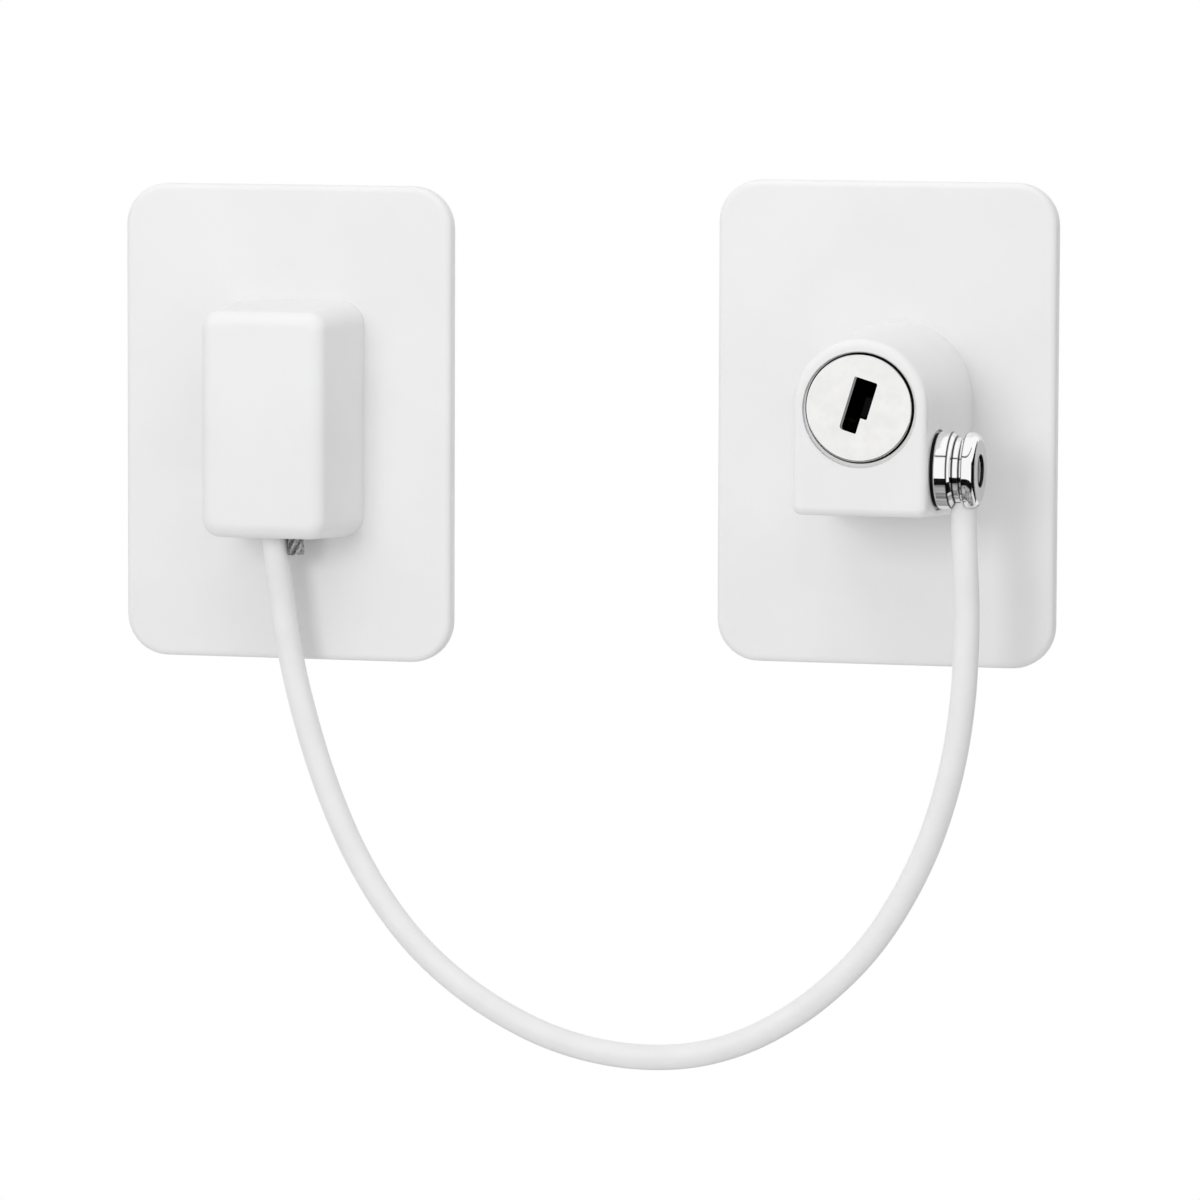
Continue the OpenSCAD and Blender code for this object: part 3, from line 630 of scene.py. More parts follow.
screw = from_behind("screw_pattern", screw_profile(0), (0, 0), 0)
for turn in (0, 90):
    blade = loft("blade", lambda inset, _: rectangle_outline(CROSS_LEN - inset, CROSS_T, CROSS_CORNER, 2),
                 CROSS_LEVELS, (0, 0))
    blade.data.transform(Matrix.Rotation(math.radians(turn), 4, "Y"))
    carve(screw, blade)
for name, node, spots in (("cover_screw_set", "cover_screws", COVER_SPOTS),
                          ("housing_screw_set", "housing_screws", HOUSING_SPOTS)):
    screws = add_piece(name, [(x, -PLATE_BACK, z) for x, z in spots], [])
    grow(screws, PLACE_ON_POINTS, {"Shape": screw, "Material": ZINC_STEEL})
    dress(screws, ZINC_STEEL, "lock_base", "zinc_steel", node)
bpy.data.objects.remove(screw)

# %% [markdown]
# ## The two plates
# Each plate is a flat moulding with round corners, a soft front edge and a crisper back edge.
# A bevelled box would come close, but a lofted outline sets the radius of the corners and of each edge by itself.

# %% Mould the plates
PLATE_CORNER = 7 * MM
PLATE_EDGE = 1 * MM
PLATE_BACK_EDGE = 0.25 * MM
RIVET_R = 2.25 * MM
RIVET_HEAD_R = 3.35 * MM
RIVET_RIM = 0.05 * MM
RIVET_LEN = 5 * MM
FLAT = 9 * MM  # longer than any edge's arc


def moulded_side(back, front, back_edge, front_edge, steps=6):
    """Insets and levels of a moulding's side with its two soft edges."""
    corners = [(FLAT, back, 0), (0, back, back_edge), (0, front, front_edge), (FLAT, front, 0)]
    return softened(corners, steps)[1:-1]


def inset_rectangle(width, height, corner):
    """An outline for lofting: a rectangle that is drawn in by the inset all round."""
    return lambda inset, _: rectangle_outline(width - 2 * inset, height - 2 * inset, corner - inset)


def plate(name, node, hole_spots, rivet_spot=None):
    middle, width, height, back, front = node_size(node)
    side = moulded_side(back, front, PLATE_BACK_EDGE, PLATE_EDGE)
    piece = loft(name, inset_rectangle(width, height, PLATE_CORNER), side, middle)
    carve(piece, *screw_holes(name + "_hole", hole_spots, back))
    if rivet_spot:
        neck = RIVET_HEAD_R - RIVET_R + RIVET_RIM
        rivet = [(0, -OVERCUT), (RIVET_HEAD_R, -OVERCUT), (RIVET_HEAD_R, RIVET_RIM), (RIVET_R, neck),
                 (RIVET_R, RIVET_LEN), (0, RIVET_LEN)]
        carve(piece, from_behind("rivet_hole", rivet, rivet_spot, back))
    dress(piece, WHITE_PLASTIC, "lock_base", "white_plastic", node)


plate("moulded_lock_plate", "lock_plate", HOUSING_SPOTS)
plate("moulded_anchor_plate", "anchor_plate", COVER_SPOTS, node_size("loop_post")[0])

# %% [markdown]
# ## The foam pads
# Behind each plate is a pad of sticky foam tape. Its cut sides bulge a little under the plate's weight,
# and its cells show as fine pits.

# %% Make the foam pads
def foam_tape():
    material, tree, shader = new_finish("foam_tape", (0.8, 0.8, 0.78), 0.7)
    voronoi = add_node(tree, "ShaderNodeTexVoronoi", {"Vector": places(tree), "Scale": 3200.0})
    cells = voronoi.outputs["Distance"]
    vary_colour(tree, shader, cells, (0.66, 0.66, 0.63), (0.84, 0.84, 0.82), 0.05, 0.5)
    vary_roughness(tree, shader, grain(tree, 120, 3), 0.55, 0.8)
    dent(tree, shader, cells, 0.05 * MM)
    return material


FOAM_TAPE = foam_tape()
PAD_CORNER = 5.5 * MM
PAD_BULGE = 0.18 * MM
PAD_STEPS = 4
PAD_RIM = 0.5 * MM
PAD_INNER = 3 * MM
for name, node in (("lock_foam_pad", "lock_pad"), ("anchor_foam_pad", "anchor_pad")):
    middle, width, height, back, front = node_size(node)
    half = (front - back) / 2
    bulge = [(PAD_BULGE * (1 - math.cos(math.pi / 2 * t / PAD_STEPS)), back + half * (1 + t / PAD_STEPS))
             for t in range(-PAD_STEPS, PAD_STEPS + 1)]
    profile = [(PAD_INNER, back), (PAD_RIM, back), *bulge, (PAD_RIM, front), (PAD_INNER, front)]
    pad = loft(name, inset_rectangle(width, height, PAD_CORNER), profile, middle)
    dress(pad, FOAM_TAPE, "lock_base", "foam_tape", node)

# %% [markdown]
# ## The anchor block
# The block is a deep white cap with leaning sides and round front edges. It is hollow, with a boss for each
# screw, and a notch in its lower wall lets the cable and the rope's cut tail out.

# %% Mould the block and cut its cavity and notch
BLOCK_EDGE = 2.3 * MM
BLOCK_BACK_EDGE = 0.15 * MM
BLOCK_BACK_FLAT = 2.9 * MM
BLOCK_CORNER = 3 * MM
BLOCK_FOOT_CORNER = 4 * MM
LEAST_CORNER = 0.3 * MM
BLOCK_DRAFT = 1.8 * MM
BLOCK_END_DRAFT = 1.1 * MM
BLOCK_WALL = 2 * MM
ROOF_EDGE = 0.6 * MM
BOSS_R = 2.5 * MM
NOTCH_CLEAR = 0.3 * MM
# How far the cable and the rope's tail each lie from the post's middle.
cable_leg = abs(CABLE_ROUTE[0][0] - node_size("loop_post")[0][0])


def block_outline(inset, level):
    """The block's outline drawn in by inset: it narrows towards the front and its corners tighten."""
    _, width, height, back, front = node_size("anchor_cover")
    share = (level - back) / (front - back)
    corner = BLOCK_FOOT_CORNER + (BLOCK_CORNER - BLOCK_FOOT_CORNER) * share - inset
    return rectangle_outline(width - 2 * (BLOCK_DRAFT * share + inset),
                             height - 2 * (BLOCK_END_DRAFT * share + inset), max(corner, LEAST_CORNER))


def block_notch(back, bottom):
    """Cutter for the cable and the rope's tail, with two round corners away from the plate."""
    eye_x = node_size("loop_post")[0][0]
    reach = CABLE_DIA / 2 + NOTCH_CLEAR
    right = [(cable_leg + reach, back - OVERCUT), *corner_arc(0, cable_leg, -CABLE_ROUTE[0][1], reach, 8)]
    ring = [*right, *[(-x, level) for x, level in reversed(right)]]
    ends = (bottom - OVERCUT, bottom + BLOCK_END_DRAFT + BLOCK_WALL + NOTCH_CLEAR)
    points = [(eye_x + x, -level, z) for z in ends for x, level in ring]
    return add_piece("notch", points, ring_faces(len(ring), 2))


def anchor_block():
    middle, _, height, back, front = node_size("anchor_cover")
    shell = [(BLOCK_BACK_FLAT, back), *moulded_side(back, front, BLOCK_BACK_EDGE, BLOCK_EDGE, 10)]
    piece = loft("anchor_block", block_outline, shell, middle)
    foot, roof = back - OVERCUT, front - BLOCK_WALL
    room = softened([(2 * BLOCK_WALL, foot, 0), (BLOCK_WALL, foot, 0), (BLOCK_WALL, roof, ROOF_EDGE),
                     (3 * BLOCK_WALL, roof, 0)])
    cavity = loft("cavity", block_outline, room, middle)
    boss_end = 2 * OVERCUT - back
    boss = [(0, -front), (BOSS_R, -front), (BOSS_R, boss_end), (0, boss_end)]
    bosses = [spin(f"boss_{i}", boss, (x, 0, z), "Y", HOLE_STEPS) for i, (x, z) in enumerate(COVER_SPOTS)]
    carve(cavity, *bosses)
    carve(piece, cavity, block_notch(back, middle[1] - height / 2),
          *screw_holes("block_hole", COVER_SPOTS, PLATE_BACK))
    return piece


dress(anchor_block(), WHITE_PLASTIC, "lock_base", "white_plastic", "anchor_cover")

# %% [markdown]
# ## The wire rope
# Inside the block the coat is stripped and the bare rope turns round a post, back through a ferrule.
# Its cut tail shows below the block. The rope is six strands laid round a seventh, which follow a path,
# so Geometry Nodes wind them: each copy of the path is pushed out sideways, at an angle that grows along it.

# %% Wind the rope's strands with Geometry Nodes
ROPE_R = 1.45 * MM
STRAND_SHARE = 0.345
STRAND_PLACE = 2 / 3
STRAND_SIDES = 12


def rope_tree():
    tree, given, result = new_tree("laid_rope", {
        "Strands": "Int", "Rope Radius": "Float", "Lay": "Float", "Material": "Material"})

    def maths(operation, a, b=0.0):
        return add_node(tree, "ShaderNodeMath", {0: a, 1: b}, operation=operation).outputs[0]

    def vectors(operation, a, b, socket=1):
        return add_node(tree, "ShaderNodeVectorMath", {0: a, socket: b}, operation=operation).outputs[0]

    path = add_node(tree, "GeometryNodeMeshToCurve", {"Mesh": given["Geometry"]}).outputs["Curve"]
    copies = add_node(tree, "GeometryNodeDuplicateElements", {
        "Geometry": path, "Amount": given["Strands"]}, domain="SPLINE")
    turns = maths("DIVIDE", add_node(tree, "GeometryNodeSplineParameter").outputs["Length"], given["Lay"])
    share = maths("DIVIDE", copies.outputs["Duplicate Index"], given["Strands"])
    angle = maths("MULTIPLY", maths("ADD", turns, share), math.tau)
    normal = add_node(tree, "GeometryNodeInputNormal").outputs["Normal"]
    tangent = add_node(tree, "GeometryNodeInputTangent").outputs["Tangent"]
    out = maths("MULTIPLY", given["Rope Radius"], STRAND_PLACE)
    sideways = vectors("SCALE", normal, maths("MULTIPLY", maths("COSINE", angle), out), 3)
    upwards = vectors("SCALE", vectors("CROSS_PRODUCT", tangent, normal),
                      maths("MULTIPLY", maths("SINE", angle), out), 3)
    wound = add_node(tree, "GeometryNodeSetPosition", {
        "Geometry": copies.outputs["Geometry"], "Offset": vectors("ADD", sideways, upwards)})
    both = add_node(tree, "GeometryNodeJoinGeometry")
    tree.links.new(path, both.inputs["Geometry"])
    tree.links.new(wound.outputs["Geometry"], both.inputs["Geometry"])
    round_bar = add_node(tree, "GeometryNodeCurvePrimitiveCircle", {
        "Resolution": STRAND_SIDES, "Radius": maths("MULTIPLY", given["Rope Radius"], STRAND_SHARE)})
    strands = add_node(tree, "GeometryNodeCurveToMesh", {
        "Curve": both.outputs["Geometry"], "Profile Curve": round_bar.outputs["Curve"], "Fill Caps": True})
    return close_tree(tree, strands.outputs["Mesh"], given, result)


LAID_ROPE = rope_tree()
print("rope tree has", len(LAID_ROPE.nodes), "nodes")

# %% Lay the rope round its post
POST_R = 3 * MM
POST_CLEAR = 0.1 * MM
ARC_STEPS = 16
EYE_STEPS = 8


def wire_rope():
    material, tree, shader = new_finish("wire_rope", (0.32, 0.32, 0.33), 0.38, 1.0)
    vary_colour(tree, shader, grain(tree, 2600, 4), (0.2, 0.2, 0.205), (0.62, 0.62, 0.63))
    vary_roughness(tree, shader, grain(tree, 900, 3), 0.3, 0.55)
    dent(tree, shader, grain(tree, 5000, 2, (1, 1, 0.3), (0, 0.7, 0)), 0.06 * MM)
    return material


def eye_path():
    """Up from the tail, round the post and down to where the coat begins."""
    middle_x, eye_z = node_size("loop_post")[0]
    level = CABLE_ROUTE[0][1]
    leg = cable_leg
    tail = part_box("wire_eye")[0][2] - eye_z
    ferrule_low, ferrule_high = (corner[2] - eye_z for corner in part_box("eye_ferrule"))
    around = POST_R + ROPE_R + POST_CLEAR
    touch = math.atan2(ferrule_high, leg) + math.acos(around / math.hypot(leg, ferrule_high))
    arc = [touch + (math.pi - 2 * touch) * i / ARC_STEPS for i in range(ARC_STEPS + 1)]
    corners = [(leg, tail), (leg, (tail + ferrule_low) / 2), (leg, ferrule_low), (leg, ferrule_high)]
    corners += [(around * math.cos(a), around * math.sin(a)) for a in arc]
    corners += [(-leg, ferrule_high), (-leg, ferrule_low), (-leg, CABLE_ROUTE[0][2] - eye_z)]
    return smooth_route([(middle_x + x, level, eye_z + z) for x, z in corners], EYE_STEPS)


WIRE_ROPE = wire_rope()
eye = eye_path()
rope = add_piece("bare_rope", eye, [], [(i, i + 1) for i in range(len(eye) - 1)])
grow(rope, LAID_ROPE, {
    "Strands": STRAND_COUNT, "Rope Radius": ROPE_R, "Lay": ROPE_LAY, "Material": WIRE_ROPE})
dress(rope, WIRE_ROPE, "lock_base", "wire_rope", "wire_eye")

# %% [markdown]
# ## The lock body
# The lock body is a die-cast arch in glossy white enamel. Its front has a round mouth with a shallow step
# for the key cylinder, and its right side has a shallow seat for the knob and the bore of the locking pin.

# %% Mould the lock body and bore it
CASE_EDGE = 1.2 * MM
CASE_BACK_EDGE = 0.03 * MM
CASE_BACK_FLAT = 1.7 * MM
CASE_CORNER = 1.5 * MM
CASE_DRAFT = 1.5 * MM
MOUTH_R = 9 * MM
STEP_R = 9.35 * MM
STEP_DEPTH = 0.5 * MM
STEP_DROP = 0.25 * MM
STEP_EDGE = 0.1 * MM
CHAMBER_DEPTH = 11.1 * MM
LIP_R = 6.5 * MM
LIP_DEPTH = 11.8 * MM
SLEEVE_R = 7.45 * MM
PIN_BORE_R = 3.05 * MM
PIN_BORE_END = -5.2 * MM
SEAT_R = 6.6 * MM
SEAT_X = 11.15 * MM
FACE_STEPS = 160
BORE_STEPS = 96


def white_enamel():
    material, tree, shader = new_finish(
        "white_enamel", grey(0.86), 0.3, coat_weight=0.35, coat_roughness=0.12)
    vary_colour(tree, shader, grain(tree, 60, 5), grey(0.845), grey(0.875))
    vary_roughness(tree, shader, grain(tree, 300, 4), 0.29, 0.39)
    dent(tree, shader, grain(tree, 420, 1), 0.0025 * MM)
    return material


def case_outline(inset, level):
    """The lock body's outline drawn in by inset; it narrows towards the front."""
    low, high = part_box("lock_housing")
    lean = CASE_DRAFT * (level + high[1]) / (high[1] - low[1])
    return arch_outline((high[0] - low[0]) / 2 - lean - inset, lock_axis[1] - low[2] - lean - inset,
                        max(CASE_CORNER - inset, LEAST_CORNER))


knob_low, knob_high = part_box("cable_knob")
PIN_AXIS = Vector((lock_axis[0], (knob_low[1] + knob_high[1]) / 2, (knob_low[2] + knob_high[2]) / 2))


def lock_case():
    low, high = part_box("lock_housing")
    back, front = -high[1], -low[1]
    shell = [(CASE_BACK_FLAT, back), *moulded_side(back, front, CASE_BACK_EDGE, CASE_EDGE, 8)]
    piece = loft("lock_case", case_outline, shell, lock_axis)
    through = front - back + OVERCUT
    outside = high[0] + 2 * OVERCUT
    bore = [(0, -OVERCUT), (MOUTH_R, -OVERCUT), (MOUTH_R, CHAMBER_DEPTH), (LIP_R, CHAMBER_DEPTH),
            (LIP_R, LIP_DEPTH), (SLEEVE_R, LIP_DEPTH), (SLEEVE_R, through), (0, through)]
    step = [(0, -OVERCUT), (STEP_R + STEP_EDGE + OVERCUT, -OVERCUT), (STEP_R, STEP_EDGE),
            (STEP_R, STEP_DEPTH), (0, STEP_DEPTH)]
    seat = [(0, PIN_BORE_END), (PIN_BORE_R, PIN_BORE_END), (PIN_BORE_R, SEAT_X), (SEAT_R, SEAT_X),
            (SEAT_R, outside), (0, outside)]
    carve(piece, spin("step", step, (lock_axis[0], -front, lock_axis[1] - STEP_DROP), "Y", FACE_STEPS),
          spin("mouth", bore, (lock_axis[0], -front, lock_axis[1]), "Y", FACE_STEPS),
          spin("seat", seat, PIN_AXIS, "X", BORE_STEPS), *screw_holes("case_hole", HOUSING_SPOTS, PLATE_BACK))
    return piece


WHITE_ENAMEL = white_enamel()
dress(lock_case(), WHITE_ENAMEL, "lock_base", "white_enamel", "lock_housing")

# %% [markdown]
# ## The key cylinder's face
# The plug is turned from brass and plated in satin nickel. Its round face stands a little proud of the lock
# body, and the leaning keyway is cut through it, with a bright ledge along its left side. A real keyway has
# wards, which only the right key passes: here a rib and a shelf are left standing behind the face.
# A boolean cut makes all of these, because the keyway crosses the slots of the wafers.

# %% Draw the keyway
KEY_LEAN = math.radians(17)
KEYWAY_W = 3.65 * MM
KEYWAY_LOW = -4.1 * MM
KEYWAY_HIGH = 4.8 * MM
KEYWAY_FOOT_W = 2.6 * MM
KEYWAY_FOOT_H = 2.7 * MM
KEYWAY_SOFT = 0.2 * MM
# The wards' left, low, right and high sides in the keyway's own frame, and the depth where each begins.
RIB = (0, -1.1 * MM, 0.36 * MM, 1.9 * MM)
RIB_DEPTH = 0.7 * MM
SHELF = (0.4 * MM, -1.3 * MM, KEYWAY_W / 2 + OVERCUT, 2 * MM)
SHELF_DEPTH = 1.6 * MM
WARD_END = 8 * MM


def keyed(x, y):
    """Place (x, z) on the door of a point in the keyway's own frame, whose y runs along the keyway."""
    return (lock_axis[0] + x * math.cos(KEY_LEAN) + y * math.sin(KEY_LEAN),
            lock_axis[1] - x * math.sin(KEY_LEAN) + y * math.cos(KEY_LEAN))


def keyed_prism(name, ring, front, back):
    """A cutter with that outline in the keyway's frame, between two places along Y."""
    spots = [keyed(*point) for point in ring]
    return add_piece(name, [(x, y, z) for y in (front, back) for x, z in spots], ring_faces(len(ring), 2))


def box_ring(left, low, right, high):
    """The four corners of a rectangle, anticlockwise."""
    return [(left, low), (right, low), (right, high), (left, high)]


def keyway_ring(ledge):
    """The keyway's outline, whose straight left side stands out by the ledge."""
    left = -KEYWAY_W / 2
    foot, right = left + KEYWAY_FOOT_W, left + KEYWAY_W
    step = KEYWAY_LOW + KEYWAY_FOOT_H
    soft = KEYWAY_SOFT
    return softened([
        (left - ledge, KEYWAY_LOW, 3 * soft), (foot, KEYWAY_LOW, soft), (foot, step, soft / 2),
        (right, step, soft), (right, KEYWAY_HIGH, 1.5 * soft), (left - ledge, KEYWAY_HIGH, soft),
    ], 4, closed=True)


def warded_keyway(front, end):
    """Cutter for the keyway, with its two wards left standing behind the face."""
    cutter = keyed_prism("keyway", keyway_ring(0), front - OVERCUT, end)
    carve(cutter, keyed_prism("rib", box_ring(*RIB), front + RIB_DEPTH, front + WARD_END),
          keyed_prism("shelf", box_ring(*SHELF), front + SHELF_DEPTH, front + WARD_END))
    return cutter


print("the keyway's outline has", len(keyway_ring(0)), "points")

# %% [markdown]
# Only the plug's face is polished. Further in, a ramp on the depth behind the face paints the metal darker:
# this is painted shade for the keyway's walls, ledge and wards. Faint rings from the lathe are a wave texture
# about the plug's axis.

# %% Make the satin nickel
# Painted shade: the metal's colour falls from full at the ramp's start to the last stop's grey.
SHADE_RAMP_DEPTH = 1.5 * MM
SHADE_RAMP_START = 0.12
SHADE_RAMP_STOPS = ((0.25, 0.18), (0.4, 0.07), (0.55, 0.04), (0.7, 0.006))


def multiplied(tree, first, second):
    """The product of two colours."""
    both = add_node(tree, "ShaderNodeMix", {0: 1.0, 6: first, 7: second},
                    data_type="RGBA", blend_type="MULTIPLY")
    return both.outputs[2]


def satin_nickel(face):
    """Bright on the face, whose place along Y is given, and painted darker the further in it is, as shade in the
    keyway.
    """
    material, tree, shader = new_finish("satin_nickel", (0.88, 0.876, 0.868), 0.2, 1.0)
    centred = add_node(tree, "ShaderNodeMapping", {
        "Vector": places(tree), "Location": (-lock_axis[0], 0, -lock_axis[1])})
    turning = add_node(tree, "ShaderNodeTexWave", {
        "Vector": centred.outputs["Vector"], "Scale": 900.0, "Distortion": 1.5, "Detail": 2.0},
        wave_type="RINGS", rings_direction="Y").outputs["Fac"]
    tone = vary_colour(tree, shader, grain(tree, 380, 5), (0.855, 0.851, 0.843), (0.91, 0.906, 0.898))
    depth = add_node(tree, "ShaderNodeSeparateXYZ", {"Vector": places(tree)}).outputs["Y"]
    # Painted shade: the deeper behind the face, the darker the colour.
    depth_shade = add_node(tree, "ShaderNodeValToRGB", {"Fac": spread(tree, depth, face, face + SHADE_RAMP_DEPTH)})
    stops = depth_shade.color_ramp.elements
    for position, level in SHADE_RAMP_STOPS:
        stops.new(position).color = (*grey(level), 1)
    stops[0].color = (*grey(1), 1)
    stops[0].position = SHADE_RAMP_START
    stops[-1].color = (*grey(SHADE_RAMP_STOPS[-1][1]), 1)
    colour = multiplied(tree, tone.outputs["Color"], depth_shade.outputs["Color"])
    tree.links.new(colour, shader.inputs["Base Color"])
    vary_roughness(tree, shader, grain(tree, 1200, 4), 0.16, 0.26)
    dent(tree, shader, turning, 0.0012 * MM)
    dent(tree, shader, grain(tree, 2200, 2), 0.002 * MM)
    return material


SATIN_NICKEL = satin_nickel(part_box("cylinder_plug")[0][1])
print("satin nickel:", len(SATIN_NICKEL.node_tree.nodes), "nodes")

# %% Turn the plug and cut the keyway and the wafer slots
DISC_T = 3.1 * MM
DISC_LIP = 0.2 * MM
DISC_EDGE = 0.28 * MM
DISC_BACK_EDGE = 0.1 * MM
LEDGE_W = 0.3 * MM
LEDGE_DEPTH = 0.35 * MM
SHOULDER_R = 7 * MM
PLUG_R = 6.2 * MM
CLIP_GROOVE = 1 * MM
CLIP_CLEAR = 0.05 * MM
TAIL_STEP = 0.2 * MM
KEYWAY_WALL = 1 * MM
WAFERS = range(1, 5)
WAFER_SIDE = 3.2 * MM
SLOT_T = 1.2 * MM
SLOT_W = 6.6 * MM
SLOT_CORNER = 0.05 * MM
POCKET_W = 1.55 * MM
POCKET_LOW = -3.4 * MM
POCKET_HIGH = 2.7 * MM
CAM_KEY_DEPTH = 0.85 * MM
CAM_KEY_HALF = 0.8 * MM


def wafer_place(number):
    """Where the middle of a wafer lies along Y."""
    low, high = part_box(f"wafer_{number}")
    return (low[1] + high[1]) / 2


def plug_profile(front, back, disc_r, cam_front):
    """From the middle of the face over the disc, the shoulder and the clip's groove to the tail."""
    clip_front, clip_back = (corner[1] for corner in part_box("retaining_clip"))
    groove_front, groove_back = clip_front - CLIP_CLEAR, clip_back + CLIP_CLEAR
    groove_r, tail_r = PLUG_R - CLIP_GROOVE, PLUG_R - TAIL_STEP
    return softened([
        (0, front, 0), (disc_r, front, DISC_EDGE), (disc_r, front + DISC_T, DISC_BACK_EDGE),
        (SHOULDER_R, front + DISC_T, 0), (SHOULDER_R, cam_front, 0), (PLUG_R, cam_front, 0),
        (PLUG_R, groove_front, 0), (groove_r, groove_front, 0), (groove_r, groove_back, 0),
        (tail_r, groove_back, 0), (tail_r, back, TAIL_STEP), (0, back, 0)], 5)


def key_plug():
    low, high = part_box("cylinder_plug")
    front, back = low[1], high[1]
    cam_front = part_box("locking_cam")[0][1]
    profile = plug_profile(front, back, (high[0] - low[0]) / 2 + DISC_LIP, cam_front)
    piece = spin("key_plug", profile, (lock_axis[0], 0, lock_axis[1]), "Y", FACE_STEPS)
    keyway_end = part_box("cylinder_sleeve")[1][1] - KEYWAY_WALL
    cutters = [warded_keyway(front, keyway_end),
               keyed_prism("ledge", keyway_ring(LEDGE_W), front - OVERCUT, front + LEDGE_DEPTH)]
    slot = rectangle_outline(SLOT_W, 2 * (PLUG_R + OVERCUT), SLOT_CORNER, 2)
    pocket = box_ring(0, POCKET_LOW, WAFER_SIDE + POCKET_W, POCKET_HIGH)
    for number in WAFERS:
        near = wafer_place(number) - SLOT_T / 2
        cutters.append(keyed_prism(f"slot_{number}", slot, near, near + SLOT_T))
        cutters.append(keyed_prism(f"pocket_{number}", pocket, near, near + SLOT_T))
    cam_key = box_ring(-PLUG_R - OVERCUT, -CAM_KEY_HALF, -PLUG_R + CAM_KEY_DEPTH, CAM_KEY_HALF)
    cutters.append(keyed_prism("cam_key", cam_key, cam_front, back + OVERCUT))
    carve(piece, *cutters)
    return piece


dress(key_plug(), SATIN_NICKEL, "cylinder", "satin_nickel", "cylinder_plug")

# %% [markdown]
# ## The wafer springs
# A tiny coil spring under each wafer pushes it out of the plug. A spiral along a height is a rule,
# so Geometry Nodes draw one and place it four times.

# %% Coil the springs with Geometry Nodes
SPRING_WIRE_R = 0.11 * MM
SPRING_COIL_R = 0.42 * MM
SPRING_TURNS = 5
SPRING_TOP = 0.6 * MM
SPRING_CLEAR = 0.05 * MM


def spring_tree():
    tree, given, result = new_tree("coil_spring", {
        "Turns": "Float", "Coil Radius": "Float", "Height": "Float", "Wire Radius": "Float",
        "Lean": "Vector", "Material": "Material"})
    coil = add_node(tree, "GeometryNodeCurveSpiral", {
        "Resolution": 24, "Rotations": given["Turns"], "Start Radius": given["Coil Radius"],
        "End Radius": given["Coil Radius"], "Height": given["Height"]})
    wire = add_node(tree, "GeometryNodeCurvePrimitiveCircle", {
        "Resolution": 10, "Radius": given["Wire Radius"]})
    spring = add_node(tree, "GeometryNodeCurveToMesh", {
        "Curve": coil.outputs["Curve"], "Profile Curve": wire.outputs["Curve"], "Fill Caps": True})
    lean = add_node(tree, "FunctionNodeEulerToRotation", {"Euler": given["Lean"]})
    placed = add_node(tree, "GeometryNodeInstanceOnPoints", {
        "Points": given["Geometry"], "Instance": spring.outputs["Mesh"],
        "Rotation": lean.outputs["Rotation"]})
    return close_tree(tree, placed.outputs["Instances"], given, result)


def spring_steel():
    material, tree, shader = new_finish("spring_steel", (0.55, 0.55, 0.56), 0.25, 1.0)
    vary_colour(tree, shader, grain(tree, 2600, 3), (0.45, 0.45, 0.46), (0.62, 0.62, 0.63))
    vary_roughness(tree, shader, grain(tree, 3000, 2), 0.2, 0.36)
    return material


def spring_feet():
    """Middle of each spring's foot, and the height of the coil."""
    low = POCKET_LOW + SPRING_WIRE_R + SPRING_CLEAR
    high = SPRING_TOP - SPRING_WIRE_R - SPRING_CLEAR
    x, z = keyed(WAFER_SIDE + POCKET_W / 2, low)
    return [(x, wafer_place(number), z) for number in WAFERS], high - low


SPRING_STEEL = spring_steel()
feet, coil_height = spring_feet()
springs = add_piece("coil_springs", feet, [])
grow(springs, spring_tree(), {
    "Turns": float(SPRING_TURNS), "Coil Radius": SPRING_COIL_R, "Height": coil_height,
    "Wire Radius": SPRING_WIRE_R, "Lean": (0.0, KEY_LEAN, 0.0), "Material": SPRING_STEEL})
dress(springs, SPRING_STEEL, "cylinder", "spring_steel", *[f"wafer_spring_{n}" for n in WAFERS])

# %% [markdown]
# ## The chrome knob
# The knob is turned from bar and chromed: two rims with a sloped groove between them and a crowned end
# with a recess for a slotted screw. The cable goes up into a socket in its underside.
# Chrome shows every flat and edge, so the profile is softened with fine arcs before it is spun.
# The chrome is painted darker round the recess and the socket's mouth, as painted shade, and in thin lines along
# the groove's corners, as painted shade and dark reflections there. Painting it by hand would work, but the
# distance from an axis, a point or a plane gives the same masks without a picture.
# The flat end is brushed, which a higher roughness close to the end draws.

# %% Make the chrome, clean and with painted shade
KNOB_RIM = 2.2 * MM
KNOB_SLOPE = 0.8 * MM
KNOB_FLOOR = 0.9 * MM
KNOB_GROOVE = 0.8 * MM
RECESS_R = 2.6 * MM
SOCKET_MOUTH_R = 2.45 * MM
# Painted shade is darkest up to a first distance and gone at a second one; a line has its place and width
# instead.
# The last number is how much light the darkest of it gives back.
RECESS_SHADE = (RECESS_R + 0.05 * MM, RECESS_R + 0.25 * MM, 0.03)
SOCKET_SHADE = (SOCKET_MOUTH_R + 0.02 * MM, SOCKET_MOUTH_R + 0.15 * MM, 0.02)
# Painted shade and dark reflections: thin dark lines along the groove's corners.
RIM_LINE = (KNOB_RIM, 0.2 * MM, 0.08)
CORNER_LINE = (KNOB_RIM + KNOB_SLOPE, 0.24 * MM, 0.05)
FAR_LINE = (KNOB_RIM + 2 * KNOB_SLOPE + KNOB_FLOOR, 0.15 * MM, 0.3)
BRUSHED = 0.42
BRUSHED_FROM = 0.08 * MM
BRUSHED_TO = 0.02 * MM


def distance_from(tree, origin, kept=(1, 1, 1)):
    """How far each point is from an origin, along the axes that are kept."""
    shift = [-a * b for a, b in zip(origin, kept)]
    flat = add_node(tree, "ShaderNodeMapping", {"Vector": places(tree), "Location": shift, "Scale": kept})
    length = add_node(tree, "ShaderNodeVectorMath", {0: flat.outputs["Vector"]}, operation="LENGTH")
    return length.outputs["Value"]


